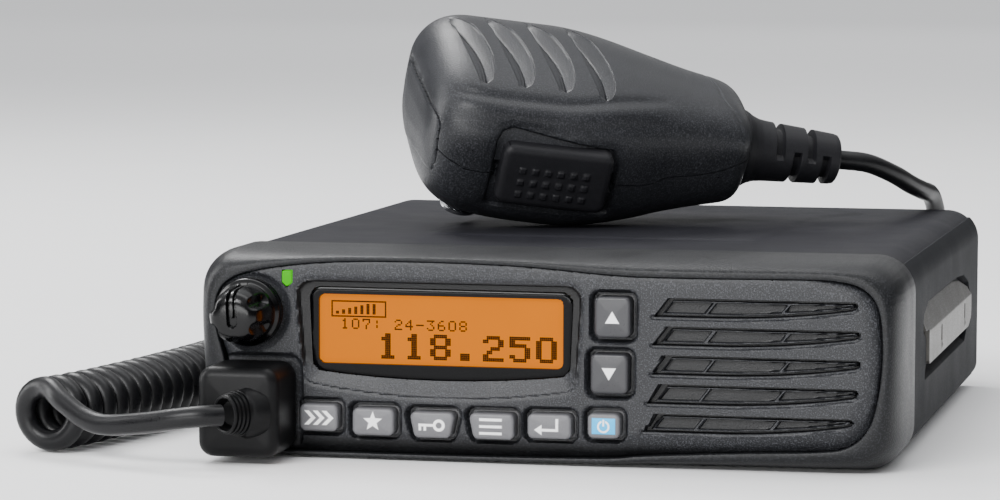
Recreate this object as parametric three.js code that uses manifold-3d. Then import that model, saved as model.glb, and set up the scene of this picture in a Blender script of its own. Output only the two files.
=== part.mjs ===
// A panel-mount airband transceiver with its hand microphone lying on the top
// cover, and the curly cord that joins them. Millimetres, +X to the right,
// +Y into the depth of the set, +Z up. The origin is on the flat that the set
// stands on, midway between its sides and midway along the case.

import * as THREE from 'three';
import { mergeVertices } from 'three/addons/utils/BufferGeometryUtils.js';
import Module from 'manifold-3d';

const wasm = await Module();
wasm.setup();

// ---------------------------------------------------------------- dimensions

const GAP = 0.3;                 // clearance between neighbouring pieces

const CASE = { halfWidth: 80.5, bottom: 2, top: 47, back: 87.5, topRadius: 8, bottomRadius: 4.5 };
const BEZEL = {
  halfWidth: 81.5, height: 47.2, front: -87.5, back: -60, radius: 8.5, edge: 2.5, wall: 2.5,
};
const PANEL_BACK = -84.5;        // rear of the bezel's front wall
const CHASSIS = { front: BEZEL.back + GAP, wall: 3, floorSeam: 3.5, roofSeam: 44.6, collarFront: -75 };
const PLATEAU = { halfWidth: 64, front: -50, back: 80, radius: 10 };

const BOARD = { front: -79.5, thickness: 1.6, left: -76.5, right: 22, bottom: 4, top: 43 };
const MAT = { front: -81.5, back: -79.9 };

const LENS = {
  left: -53.6, right: 7.5, top: 39.3, leftLow: -52, rightLow: 5.8, low: 20.3, middleLow: 18.4,
};
const LENS_FRONT = -86;
const LENS_THICKNESS = 1.4;
const RECESS_MARGIN = 2.2;
const RECESS_DEPTH = 1.4;
const LCD_CELL = { left: -52.6, right: 6.6, bottom: 20.9, top: 38.9, front: -84.2, back: -80 };
const LED_CLEARANCE = 0.35;
const PLUG_CLEARANCE = 0.5;

const KEY_FRONT = -89;
const KEY_BACK = -82.6;
const KEY_FLANGE = { margin: 0.8, front: -84.1 };
const KEY_TAPER = 1.3;
const KEYS = [
  { name: 'scan_key', x: -51.3, z: 9.5, width: 9, height: 6.2 },
  { name: 'priority_key', x: -38.5, z: 8.9, width: 9.8, height: 6.2 },
  {
    name: 'squelch_key', x: -24.7, z: 8.6, width: 10.9, height: 5.9,
    taperLeft: KEY_TAPER, taperRight: KEY_TAPER,
  },
  { name: 'menu_key', x: -11, z: 8.7, width: 10.7, height: 5.9, taperLeft: KEY_TAPER },
  { name: 'group_key', x: 2.5, z: 9.1, width: 10.1, height: 5.6 },
  { name: 'power_key', x: 15, z: 9.6, width: 7.4, height: 5.6 },
  { name: 'up_key', x: 16.9, z: 34.2, width: 8.2, height: 9.2 },
  { name: 'down_key', x: 16.2, z: 21.4, width: 8.6, height: 9 },
];

const KNOB = {
  x: -67.7, z: 33.4, skirt: 7.8, grip: 6.4, back: -88.2, shoulder: -91.4, front: -103, flutes: 6,
};
const SHAFT = { radius: 3, back: -83.8, front: -99 };
const POT = { half: 6, front: -84.1, back: -79.9 };
const LED = { x: -59.1, z: 41.2, width: 2.2, height: 3.4, front: -88 };

const GRILLE = {
  left: 28, right: 71, top: 38.8, pitch: 6.55, rows: 5, tallEnd: 3.6, shortEnd: 1.9, shift: -0.55, lean: 2,
};
const GRILLE_BARS = [[0, 0.29], [0.34, 0.66], [0.71, 1]];
const SPEAKER = { x: 49.5, z: 23.7, radius: 18, front: -83 };

const SIDE_PLATE = {
  front: -30, back: 66, bottom: 16.5, top: 31.5, thickness: 2.2, proud: 0.7, chamfer: 6,
};
const SIDE_RECESS = { front: -34, back: 70, bottom: 13.5, top: 34.5, depth: 2.2 };

const FINS = { count: 11, left: -73, pitch: 7, width: 2.2, bottom: 6, top: 42, back: 102 };
const ANTENNA = { x: 18, z: 30, radius: 7.9, bore: 4.6, back: 102 };
const POWER = { x: 42, z: 30, width: 20, height: 12, back: 98 };
const ACCESSORY = { x: 34, z: 12, width: 38, height: 11, back: 93.5 };
const SPEAKER_JACK = { x: 63, z: 30, radius: 4.4, bore: 1.8, back: 91 };

// Sockets inside the rear wall, and how deep their plugs go.
const WALL_REACH = 7;
const POWER_DEPTH = 9;
const ACCESSORY_DEPTH = 5;

const SCREW = { x: 71.5, ys: [-52, 80], head: 3, shank: 1.4, boss: 4.2, top: 10.5 };

// The hand microphone, in its own frame: X runs from its top end to its cord,
// Y to the side away from the talk button, Z out of its grille.
const HAND = { length: 84.25, width: 59.1, front: 21, back: 19.7, neck: 32.4, wall: 2.2 };
const HAND_PLACE = new THREE.Vector3(-51.2, 0.25, 75.45);
const HAND_TURN = { tilt: 23.7, pitch: 7.04, yaw: 24.72 };
const HAND_POWER = 3;            // superellipse power of its cross-section
// Lengths over which its ends round off: the top end, the back below it, and the cord end.
const HAND_ENDS = { top: 14, under: 28, tail: 6 };
const TALK = { left: 17.5, right: 45.3, half: 8, proud: -31.4, back: -23.1 };
const RELIEF = { base: 9, end: 5.6, start: 84.7, stop: 110, neck: 7, flange: 8.2 };
const STUD = { u: 16.5, radius: 5, neck: 3, height: 6.1 };
const GRILLE_SLOT = { starts: [8, 18, 28, 38], reach: 19, width: 2.4, bow: 4, floor: 8 };

const CORD = 4.9;                // diameter of the microphone cord
const COIL = 17.6;               // outside diameter of its coil

const PLUG = { left: -70.8, right: -61.2, bottom: 7.6, top: 15.6, front: -87.4, back: -74 };
const BOOT = {
  left: -76, right: -57, bottom: 1.6, top: 22.2, front: -104, back: -87.9, radius: 3, edge: 2,
};
const NECK_TURN = 0.6435;        // radians from straight ahead towards the coil
const NECK_FOOT = [-64.5, -103.2, 12];

const WIDE = 100;                // further out than any piece, for cutting tools

// ------------------------------------------------------------------- helpers

function paint(color, roughness, metalness = 0) {
  return new THREE.MeshStandardMaterial({ color, roughness, metalness });
}

function toSolid(geometry) {
  const bare = geometry.clone();
  bare.deleteAttribute('normal');
  bare.deleteAttribute('uv');
  const merged = mergeVertices(bare, 1e-4);
  return new wasm.Manifold(new wasm.Mesh({
    numProp: 3,
    vertProperties: Float32Array.from(merged.attributes.position.array),
    triVerts: Uint32Array.from(merged.index.array),
  }));
}

function toGeometry(solid) {
  const mesh = solid.getMesh();
  const geometry = new THREE.BufferGeometry();
  const position = new THREE.BufferAttribute(Float32Array.from(mesh.vertProperties), 3);
  geometry.setAttribute('position', position);
  geometry.setIndex(new THREE.BufferAttribute(Uint32Array.from(mesh.triVerts), 1));
  geometry.computeVertexNormals();
  return geometry;
}

function boxGeometry(x0, x1, y0, y1, z0, z1) {
  const geometry = new THREE.BoxGeometry(x1 - x0, y1 - y0, z1 - z0);
  return geometry.translate((x0 + x1) / 2, (y0 + y1) / 2, (z0 + z1) / 2);
}

const box = (...edges) => toSolid(boxGeometry(...edges));

// A rectangle with round corners; radii run from bottom left, anticlockwise.
function roundedRectangle(x0, x1, z0, z1, radii) {
  const corners = Array.isArray(radii) ? radii : Array(4).fill(radii);
  const [bottomLeft, bottomRight, topRight, topLeft] = corners;
  const shape = new THREE.Shape();
  shape.moveTo(x0 + bottomLeft, z0);
  shape.lineTo(x1 - bottomRight, z0);
  shape.absarc(x1 - bottomRight, z0 + bottomRight, bottomRight, -Math.PI / 2, 0);
  shape.lineTo(x1, z1 - topRight);
  shape.absarc(x1 - topRight, z1 - topRight, topRight, 0, Math.PI / 2);
  shape.lineTo(x0 + topLeft, z1);
  shape.absarc(x0 + topLeft, z1 - topLeft, topLeft, Math.PI / 2, Math.PI);
  shape.lineTo(x0, z0 + bottomLeft);
  shape.absarc(x0 + bottomLeft, z0 + bottomLeft, bottomLeft, Math.PI, 1.5 * Math.PI);
  return shape;
}

// A shape drawn in X and Z, run along Y from y0 to y1. An edge rounds both ends.
function prismY(shape, y0, y1, edge = 0, curveSegments = 5) {
  const geometry = new THREE.ExtrudeGeometry(shape, {
    depth: y1 - y0 - 2 * edge,
    bevelEnabled: edge > 0,
    bevelThickness: edge,
    bevelSize: edge,
    bevelOffset: -edge,
    bevelSegments: 2,
    curveSegments,
  });
  return geometry.rotateX(Math.PI / 2).translate(0, y1 - edge, 0);
}

function prismZ(shape, z0, z1, curveSegments = 5) {
  const options = { depth: z1 - z0, bevelEnabled: false, curveSegments };
  return new THREE.ExtrudeGeometry(shape, options).translate(0, 0, z0);
}

function cylinderY(radius, y0, y1, x, z, segments = 20) {
  const geometry = new THREE.CylinderGeometry(radius, radius, y1 - y0, segments);
  return geometry.translate(x, (y0 + y1) / 2, z);
}

function cylinderZ(radius, z0, z1, x, y, segments = 20) {
  const geometry = new THREE.CylinderGeometry(radius, radius, z1 - z0, segments);
  return geometry.rotateX(Math.PI / 2).translate(x, y, (z0 + z1) / 2);
}

function cylinderX(radius, x0, x1, segments = 20) {
  const geometry = new THREE.CylinderGeometry(radius, radius, x1 - x0, segments);
  return geometry.rotateZ(-Math.PI / 2).translate((x0 + x1) / 2, 0, 0);
}

// A turned piece: pairs of radius and height, spun about the height axis.
function turned(profile, segments) {
  const points = profile.map(([radius, height]) => new THREE.Vector2(radius, height));
  return new THREE.LatheGeometry(points, segments);
}

function tube(points, diameter, steps, sides) {
  const section = new THREE.Shape();
  for (let i = 0; i < sides; i += 1) {
    const angle = (2 * Math.PI * i) / sides;
    const x = (diameter / 2) * Math.cos(angle);
    const y = (diameter / 2) * Math.sin(angle);
    if (i === 0) section.moveTo(x, y);
    else section.lineTo(x, y);
  }
  section.closePath();
  const extrudePath = new THREE.CatmullRomCurve3(points.map((point) => new THREE.Vector3(...point)));
  return new THREE.ExtrudeGeometry(section, { steps, bevelEnabled: false, extrudePath });
}

function addTo(group, name, piece, material) {
  const geometry = piece.isBufferGeometry ? piece : toGeometry(piece);
  const mesh = new THREE.Mesh(geometry, material);
  mesh.name = name;
  group.add(mesh);
  return mesh;
}

// ------------------------------------------------------------- front of the set

function keyShape(key, margin = 0) {
  const left = key.x - key.width / 2 - margin;
  const right = key.x + key.width / 2 + margin;
  const bottom = key.z - key.height / 2 - margin;
  const top = key.z + key.height / 2 + margin;
  const shape = new THREE.Shape();
  const corner = 1;
  const lowLeft = left + (key.taperLeft ?? 0);
  const lowRight = right - (key.taperRight ?? 0);
  shape.moveTo(lowLeft + corner, bottom);
  shape.lineTo(lowRight - corner, bottom);
  shape.quadraticCurveTo(lowRight, bottom, lowRight, bottom + corner);
  shape.lineTo(right, top - corner);
  shape.quadraticCurveTo(right, top, right - corner, top);
  shape.lineTo(left + corner, top);
  shape.quadraticCurveTo(left, top, left, top - corner);
  shape.lineTo(lowLeft, bottom + corner);
  shape.quadraticCurveTo(lowLeft, bottom, lowLeft + corner, bottom);
  return shape;
}

// The display's outline: a flat top, sides that lean in, and a sagging lower edge.
function lensShape(margin = 0) {
  const shape = new THREE.Shape();
  const middle = (LENS.left + LENS.right) / 2;
  const low = LENS.low - margin;
  const sag = LENS.middleLow - margin;
  shape.moveTo(LENS.left - margin, LENS.top + margin);
  shape.lineTo(LENS.leftLow - margin, low);
  shape.quadraticCurveTo(middle, 2 * sag - low, LENS.rightLow + margin, low);
  shape.lineTo(LENS.right + margin, LENS.top + margin);
  shape.closePath();
  return shape;
}

// One run of a louvre between two bars; start and end are fractions of its length.
function louvreShape(row, start, end) {
  const span = GRILLE.right - GRILLE.left;
  const top = GRILLE.top - row * GRILLE.pitch;
  const shift = row * GRILLE.shift;
  const x0 = GRILLE.left + span * start + shift;
  const x1 = GRILLE.left + span * end + shift;
  const height = (part) => GRILLE.tallEnd + (GRILLE.shortEnd - GRILLE.tallEnd) * part;
  const shape = new THREE.Shape();
  shape.moveTo(x0, top);
  shape.lineTo(x0 - GRILLE.lean, top - height(start));
  shape.lineTo(x1 - GRILLE.lean, top - height(end));
  shape.lineTo(x1, top);
  shape.closePath();
  return shape;
}

function makeBezel() {
  const outline = roundedRectangle(-BEZEL.halfWidth, BEZEL.halfWidth, 0, BEZEL.height, BEZEL.radius);
  const inside = roundedRectangle(
    BEZEL.wall - BEZEL.halfWidth, BEZEL.halfWidth - BEZEL.wall,
    BEZEL.wall, BEZEL.height - BEZEL.wall, BEZEL.radius - BEZEL.wall,
  );
  const overrun = 10;
  let bezel = toSolid(prismY(outline, BEZEL.front, BEZEL.back + overrun, BEZEL.edge));
  bezel = bezel.subtract(box(-90, 90, BEZEL.back, BEZEL.back + 2 * overrun, -5, 60));
  bezel = bezel.subtract(toSolid(prismY(inside, PANEL_BACK, BEZEL.back + overrun)));
  const recess = prismY(lensShape(RECESS_MARGIN), BEZEL.front - 1, BEZEL.front + RECESS_DEPTH);
  bezel = bezel.subtract(toSolid(recess));
  const through = [BEZEL.front - 1, PANEL_BACK + 1];
  bezel = bezel.subtract(toSolid(prismY(lensShape(GAP), ...through)));
  for (const key of KEYS) {
    bezel = bezel.subtract(toSolid(prismY(keyShape(key, 0.4), ...through)));
  }
  for (let row = 0; row < GRILLE.rows; row += 1) {
    for (const [start, end] of GRILLE_BARS) {
      bezel = bezel.subtract(toSolid(prismY(louvreShape(row, start, end), ...through)));
    }
  }
  const ledReach = LED.width / 2 + LED_CLEARANCE;
  const ledRise = LED.height / 2 + LED_CLEARANCE;
  bezel = bezel.subtract(box(
    LED.x - ledReach, LED.x + ledReach, ...through, LED.z - ledRise, LED.z + ledRise,
  ));
  bezel = bezel.subtract(toSolid(cylinderY(SHAFT.radius + 0.5, ...through, KNOB.x, KNOB.z)));
  return bezel.subtract(box(
    PLUG.left - PLUG_CLEARANCE, PLUG.right + PLUG_CLEARANCE, ...through,
    PLUG.bottom - PLUG_CLEARANCE, PLUG.top + PLUG_CLEARANCE,
  ));
}

function makeKey(key) {
  const cap = toSolid(prismY(keyShape(key), KEY_FRONT, KEY_BACK, 0.4, 2));
  const flange = toSolid(prismY(keyShape(key, KEY_FLANGE.margin), KEY_FLANGE.front, KEY_BACK, 0, 2));
  return cap.add(flange);
}

function makeKeyMat() {
  const lower = box(-57, 20, MAT.front, MAT.back, 4.6, 14.5);
  const upper = box(11, 22, MAT.front, MAT.back, 14.4, 40.4);
  return lower.add(upper);
}

function makeKnob() {
  const { skirt, grip, back, shoulder, front } = KNOB;
  const step = back - shoulder;
  const tall = back - front;
  const profile = [
    [0, 0], [skirt, 0], [skirt, step - 0.6], [skirt - 0.6, step], [grip + 0.4, step + 0.6],
    [grip, tall - 1], [grip - 1, tall], [0, tall],
  ];
  const blank = toSolid(turned(profile, 30).rotateX(Math.PI));
  const edge = 1.6;
  let knob = blank;
  for (let i = 0; i < KNOB.flutes; i += 1) {
    const angle = (2 * Math.PI * (i + 0.5)) / KNOB.flutes;
    const flute = cylinderY(edge * 1.6, -tall - 1, -step - 0.9, 0, 0, 10);
    const reach = grip + edge;
    knob = knob.subtract(toSolid(flute.translate(reach * Math.cos(angle), 0, reach * Math.sin(angle))));
  }
  knob = knob.subtract(toSolid(cylinderY(SHAFT.radius + GAP, SHAFT.front - back - GAP, 1, 0, 0)));
  return toGeometry(knob).translate(KNOB.x, back, KNOB.z);
}

function makePotBody() {
  const body = box(
    KNOB.x - POT.half, KNOB.x + POT.half, POT.front, POT.back, KNOB.z - POT.half, KNOB.z + POT.half,
  );
  const bore = cylinderY(SHAFT.radius + GAP, POT.front - 1, SHAFT.back + GAP, KNOB.x, KNOB.z);
  return body.subtract(toSolid(bore));
}

function makeDisplayBoard() {
  const back = BOARD.front + BOARD.thickness;
  const board = box(BOARD.left, BOARD.right, BOARD.front, back, BOARD.bottom, BOARD.top);
  return board.subtract(box(BOARD.left - 1, -57.2, BOARD.front - 1, back + 1, BOARD.bottom - 1, 20.5));
}

function makeLoudspeaker() {
  const { radius } = SPEAKER;
  const profile = [
    [0, 4], [6, 4], [radius - 3, 0.4], [radius, 0], [radius, 1.6], [13, 7], [13, 13], [0, 13],
  ];
  return turned(profile, 28).translate(SPEAKER.x, SPEAKER.front, SPEAKER.z);
}

function makeGasket() {
  const ring = cylinderY(SPEAKER.radius, -84.2, -83.3, SPEAKER.x, SPEAKER.z, 28);
  const hole = cylinderY(SPEAKER.radius - 2.5, -86, -82, SPEAKER.x, SPEAKER.z, 28);
  return toSolid(ring).subtract(toSolid(hole));
}

function makeMicJack() {
  const margin = 2.2;
  const housing = box(
    PLUG.left - margin, PLUG.right + margin, -84.2, PLUG.back + 2,
    PLUG.bottom - margin, PLUG.top + margin,
  );
  return housing.subtract(box(
    PLUG.left - GAP, PLUG.right + GAP, -90, PLUG.back + GAP, PLUG.bottom - GAP, PLUG.top + GAP,
  ));
}

// -------------------------------------------------------------- case of the set

const caseOutline = (inset = 0) => roundedRectangle(
  -CASE.halfWidth + inset, CASE.halfWidth - inset, CASE.bottom + inset, CASE.top - inset,
  [CASE.bottomRadius - inset, CASE.bottomRadius - inset, CASE.topRadius - inset, CASE.topRadius - inset],
);

function makeChassis() {
  const inner = CASE.halfWidth - CHASSIS.wall;
  let chassis = toSolid(prismY(caseOutline(), CHASSIS.front, CASE.back));
  const margin = BEZEL.wall + 0.5;
  const collar = roundedRectangle(
    margin - BEZEL.halfWidth, BEZEL.halfWidth - margin, margin + 0.6, CHASSIS.roofSeam - 0.6, 5.5,
  );
  chassis = chassis.add(toSolid(prismY(collar, CHASSIS.collarFront, CHASSIS.front + 2)));
  chassis = chassis.subtract(box(-WIDE, WIDE, -WIDE, WIDE, CHASSIS.roofSeam, 60));
  chassis = chassis.subtract(box(-WIDE, WIDE, -WIDE, WIDE, -5, CHASSIS.floorSeam));
  const roof = box(-inner, inner, CHASSIS.front + 4, CASE.back - CHASSIS.wall, -5, 60);
  const room = box(-inner + 2, inner - 2, CHASSIS.collarFront - 1, CHASSIS.front + 5, 5.1, 41);
  chassis = chassis.subtract(roof).subtract(room);
  for (const side of [-1, 1]) {
    const outer = side * (CASE.halfWidth + 1);
    const floor = side * (CASE.halfWidth - SIDE_RECESS.depth);
    chassis = chassis.subtract(box(
      Math.min(outer, floor), Math.max(outer, floor),
      SIDE_RECESS.front, SIDE_RECESS.back, SIDE_RECESS.bottom, SIDE_RECESS.top,
    ));
    const bossX = side * SCREW.x;
    const wallX = side * (inner + 1);
    for (const y of SCREW.ys) {
      const boss = cylinderZ(SCREW.boss, CHASSIS.floorSeam, SCREW.top + 2, bossX, y, 14);
      const web = box(
        Math.min(bossX, wallX), Math.max(bossX, wallX), y - 2, y + 2, CHASSIS.floorSeam, SCREW.top + 2,
      );
      chassis = chassis.add(toSolid(boss)).add(web);
      const bore = cylinderZ(SCREW.shank + GAP, CHASSIS.floorSeam - 1, SCREW.top + GAP, bossX, y, 12);
      chassis = chassis.subtract(toSolid(bore));
    }
  }
  for (let i = 0; i < FINS.count; i += 1) {
    const x = FINS.left + i * FINS.pitch;
    chassis = chassis.add(box(x, x + FINS.width, CASE.back - 1, FINS.back, FINS.bottom, FINS.top));
  }
  const holes = [
    cylinderY(ANTENNA.radius - 1.5, CASE.back - 5, CASE.back + 1, ANTENNA.x, ANTENNA.z),
    cylinderY(
      SPEAKER_JACK.radius - 0.9, CASE.back - 5, CASE.back + 1, SPEAKER_JACK.x, SPEAKER_JACK.z,
    ),
  ];
  for (const hole of holes) chassis = chassis.subtract(toSolid(hole));
  for (const socket of [POWER, ACCESSORY]) {
    chassis = chassis.subtract(socketNeck(socket, GAP, CASE.back - 5, CASE.back + 1));
  }
  return chassis;
}

// The part of a rectangular rear socket that passes through the rear wall.
function socketNeck(socket, margin, y0, y1) {
  const halfWidth = socket.width / 2 - 2 + margin;
  const halfHeight = socket.height / 2 - 2 + margin;
  return box(
    socket.x - halfWidth, socket.x + halfWidth, y0, y1, socket.z - halfHeight, socket.z + halfHeight,
  );
}

function makeSocket(socket, cavityDepth) {
  const head = box(
    socket.x - socket.width / 2, socket.x + socket.width / 2, CASE.back + GAP, socket.back,
    socket.z - socket.height / 2, socket.z + socket.height / 2,
  );
  const shell = head.add(socketNeck(socket, 0, CASE.back - 8, CASE.back + 1));
  return shell.subtract(socketNeck(socket, GAP, socket.back - cavityDepth, socket.back + 1));
}

// A round rear socket: its head outside the wall, its sleeve through it, and its bore.
function makeRoundSocket(place, sleeve, bore, boreFront, segments) {
  const head = cylinderY(place.radius, CASE.back + GAP, place.back, place.x, place.z, segments);
  const neck = cylinderY(sleeve, CASE.back - WALL_REACH, CASE.back + 1, place.x, place.z, segments);
  const hole = cylinderY(bore, boreFront, place.back + 1, place.x, place.z, segments);
  return toSolid(head).add(toSolid(neck)).subtract(toSolid(hole));
}

function makeTopCover() {
  const whole = toSolid(prismY(caseOutline(), CHASSIS.front, CASE.back - GAP));
  return whole.subtract(box(-WIDE, WIDE, -WIDE, WIDE, -5, CHASSIS.roofSeam + GAP));
}

function makeBottomCover() {
  const whole = toSolid(prismY(caseOutline(), CHASSIS.front, CASE.back - GAP));
  let cover = whole.subtract(box(-WIDE, WIDE, -WIDE, WIDE, CHASSIS.floorSeam - GAP, 60));
  const plateau = roundedRectangle(
    -PLATEAU.halfWidth, PLATEAU.halfWidth, PLATEAU.front, PLATEAU.back, PLATEAU.radius,
  );
  cover = cover.add(toSolid(prismZ(plateau, 0, CASE.bottom + 0.6)));
  for (const side of [-1, 1]) {
    for (const y of SCREW.ys) {
      const hole = cylinderZ(SCREW.shank + GAP, -1, 5, side * SCREW.x, y, 12);
      cover = cover.subtract(toSolid(hole));
    }
  }
  return cover;
}

function makeScrew(x, y) {
  const profile = [
    [0, 0], [SCREW.head - 0.6, 0], [SCREW.head, 0.5], [SCREW.head, 1.1], [SCREW.shank, 1.1],
    [SCREW.shank, SCREW.top - 0.6], [0, SCREW.top - 0.6],
  ];
  return turned(profile, 14).rotateX(Math.PI / 2).translate(x, y, 0.6);
}

// A steel catch plate with a leaning top strip, seated in the side of the case.
function makeSidePlate(side) {
  const { front, back, bottom, top, chamfer } = SIDE_PLATE;
  const outline = new THREE.Shape();
  outline.moveTo(front + 4, bottom);
  outline.lineTo(back - chamfer, bottom);
  outline.lineTo(back, bottom + 2);
  outline.lineTo(back, top - chamfer);
  outline.lineTo(back - 2 * chamfer, top);
  outline.lineTo(front + chamfer, top);
  outline.lineTo(front, top - 4);
  outline.lineTo(front, bottom + 4);
  outline.closePath();
  const plate = new THREE.ExtrudeGeometry(outline, { depth: SIDE_PLATE.thickness, bevelEnabled: false });
  plate.rotateX(Math.PI / 2).rotateZ(Math.PI / 2);
  const outer = CASE.halfWidth + SIDE_PLATE.proud;
  plate.translate(side > 0 ? outer - SIDE_PLATE.thickness : -outer, 0, 0);
  const slots = [[front + 8, 8], [back - 14, 8]];
  let solid = toSolid(plate);
  for (const [y, height] of slots) {
    solid = solid.subtract(box(-WIDE, WIDE, y, y + 1.2, bottom + 3, bottom + 3 + height));
  }
  return solid;
}

function makeShield() {
  const shield = box(8, 66, 2, 62, 10.2, 20);
  return shield.subtract(box(8.6, 65.4, 2.6, 61.4, 9, 19.4));
}

// ------------------------------------------------------------- hand microphone

const ease = (t) => {
  const part = Math.min(Math.max(t, 0), 1);
  return part * part * (3 - 2 * part);
};

// How far a rounded end has opened, from 0 at its tip to 1 past its radius.
const opening = (reach) => (1 - Math.max(1 - reach, 0) ** 2.4) ** (1 / 2.4);

// Half-width, front height and back height of the body at a distance u from its top end.
function handSize(u, inset) {
  const { length, width, front, back, neck } = HAND;
  const taper = ease((u - 0.4 * length) / (0.6 * length));
  const top = opening(Math.min(u / HAND_ENDS.top, 1));
  const under = opening(Math.min(u / HAND_ENDS.under, 1));
  const tail = opening(Math.min((length - u) / HAND_ENDS.tail, 1));
  const wide = (width / 2) * (1 - taper) + (neck / 2) * taper;
  const low = 0.6 + 0.4 * tail;
  return {
    side: wide * (0.55 + 0.45 * top) * (0.5 + 0.5 * tail) - inset,
    front: front * (1 - 0.3 * taper) * (0.35 + 0.65 * top) * low - inset,
    back: back * (1 - 0.38 * taper) * (0.35 + 0.65 * under) * low - inset,
  };
}

function handLoft(inset) {
  const around = 24;
  const stations = [0, 0.8, 2.4, 5, 9, 14, 24, 34, 44, 54, 64, 72, 78.2, 81.5, 83.4, HAND.length];
  const positions = [];
  const index = [];
  const first = inset;
  const last = HAND.length - inset;
  stations.forEach((station) => {
    const u = Math.min(Math.max(station, first), last) + (station / HAND.length - 0.5) * 1e-3;
    const size = handSize(Math.min(Math.max(station, 0), HAND.length), inset);
    for (let i = 0; i < around; i += 1) {
      const angle = (2 * Math.PI * i) / around;
      const across = Math.sign(Math.cos(angle)) * Math.abs(Math.cos(angle)) ** (2 / HAND_POWER);
      const up = Math.sign(Math.sin(angle)) * Math.abs(Math.sin(angle)) ** (2 / HAND_POWER);
      positions.push(u, size.side * across, (up > 0 ? size.front : size.back) * up);
    }
  });
  const rings = stations.length;
  for (let ring = 0; ring < rings - 1; ring += 1) {
    for (let i = 0; i < around; i += 1) {
      const next = (i + 1) % around;
      const [a, b] = [ring * around + i, ring * around + next];
      const [c, d] = [a + around, b + around];
      index.push(a, b, c, b, d, c);
    }
  }
  const tip = positions.length / 3;
  positions.push(first - 1e-3, 0, 0, last + 1e-3, 0, 0);
  for (let i = 0; i < around; i += 1) {
    const next = (i + 1) % around;
    const base = (rings - 1) * around;
    index.push(tip, next, i, tip + 1, base + i, base + next);
  }
  const geometry = new THREE.BufferGeometry();
  geometry.setAttribute('position', new THREE.Float32BufferAttribute(positions, 3));
  geometry.setIndex(index);
  return geometry;
}

// A slot across the grille, bowed towards the cord.
function grilleSlot(u) {
  const { reach, width, bow, floor } = GRILLE_SLOT;
  const shape = new THREE.Shape();
  shape.moveTo(u, -reach);
  shape.quadraticCurveTo(u + 2 * bow, 0, u, reach);
  shape.lineTo(u + width, reach);
  shape.quadraticCurveTo(u + width + 2 * bow, 0, u + width, -reach);
  shape.closePath();
  return toSolid(prismZ(shape, floor, HAND.front + 9, 4));
}

function makeHandShells() {
  const outer = toSolid(handLoft(0));
  const shell = outer.subtract(toSolid(handLoft(HAND.wall)));
  const talkWindow = box(
    TALK.left - 0.4, TALK.right + 0.4, -40, -24, -TALK.half - 0.4, TALK.half + 0.4,
  );
  const cordHole = toSolid(cylinderX(RELIEF.neck + GAP, 78, 90));
  const capSeat = box(-5, 1.5, -13.3, 13.3, -5.8, 6.3);
  const seam = GAP / 2;
  let frontShell = shell.subtract(box(-20, 120, -60, 60, -60, seam));
  let backShell = shell.subtract(box(-20, 120, -60, 60, -seam, 60));
  [frontShell, backShell] = [frontShell, backShell].map(
    (half) => half.subtract(talkWindow).subtract(cordHole).subtract(capSeat),
  );
  for (const u of GRILLE_SLOT.starts) frontShell = frontShell.subtract(grilleSlot(u));
  backShell = backShell.subtract(toSolid(cylinderZ(STUD.neck + GAP, -30, -10, STUD.u, 0)));
  return { frontShell, backShell };
}

function makeTalkButton() {
  const pad = roundedRectangle(TALK.left, TALK.right, -TALK.half, TALK.half, 2.5);
  const cap = toSolid(prismY(pad, TALK.proud, TALK.back, 0.8, 4));
  const flange = roundedRectangle(
    TALK.left - 0.6, TALK.right + 0.6, -TALK.half - 0.6, TALK.half + 0.6, 1.5,
  );
  return cap.add(toSolid(prismY(flange, TALK.back - 1, TALK.back, 0, 3)));
}

function makeRelief() {
  const { base, end, start, stop, neck, flange } = RELIEF;
  const profile = [
    [0, 78.6], [flange, 78.6], [flange, 81], [neck, 81], [neck, start], [base, start],
    [base, start + 1.5], [base - 1.5, start + 6], [end + 0.7, start + 12], [end, stop - 1],
    [end - 0.8, stop], [0, stop],
  ];
  return turned(profile, 20).rotateZ(-Math.PI / 2);
}

function makeStud() {
  const bottom = -HAND.back - STUD.height;
  const profile = [
    [0, bottom], [STUD.radius - 0.5, bottom], [STUD.radius, bottom + 0.5],
    [STUD.radius, bottom + 1.6], [STUD.neck, bottom + 2.6], [STUD.neck, -HAND.back + 1.5],
    [0, -HAND.back + 1.5],
  ];
  return turned(profile, 20).rotateX(Math.PI / 2).translate(STUD.u, 0, 0);
}

function makeHandBoard() {
  return box(8, 74, -11, 11, -2.6, -1).add(box(8, 50, -17.8, 17.8, -2.6, -1));
}

function makeHandSpeaker() {
  const profile = [[0, 4], [9, 4], [9, 8.5], [15, 10], [15, 12.5], [13.5, 12.5], [6, 9.5], [0, 9.5]];
  return turned(profile, 24).rotateX(Math.PI / 2).translate(26, 2, 0);
}

// ------------------------------------------------------------------------ cord

// The coil's middle line: beside the case to its rear, then behind it.
const COIL_LINE = [
  [-115, -95, 9], [-111, -82, 9], [-107.5, -64, 9], [-104, -40, 9], [-101.5, -15, 9],
  [-100, 12, 9], [-99, 40, 9], [-98.5, 62, 9], [-97.5, 80, 9], [-91, 100, 9], [-77, 115, 9],
  [-58, 122, 9], [-40, 124, 9], [-26, 124, 9],
];

// From the coil's front end to the boot on the plug.
const PLUG_LEAD = [
  [-114.2, -98.6, 13], [-111.6, -100.3, 12.9], [-108, -102, 12.1], [-102.2, -104.8, 9.9],
  [-96.2, -107.2, 8.8], [-86.3, -110.4, 9.9], [-78, -112, 11.3], [-72.2, -111.4, 12],
  [-68.5, -108.8, 12],
];

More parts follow.
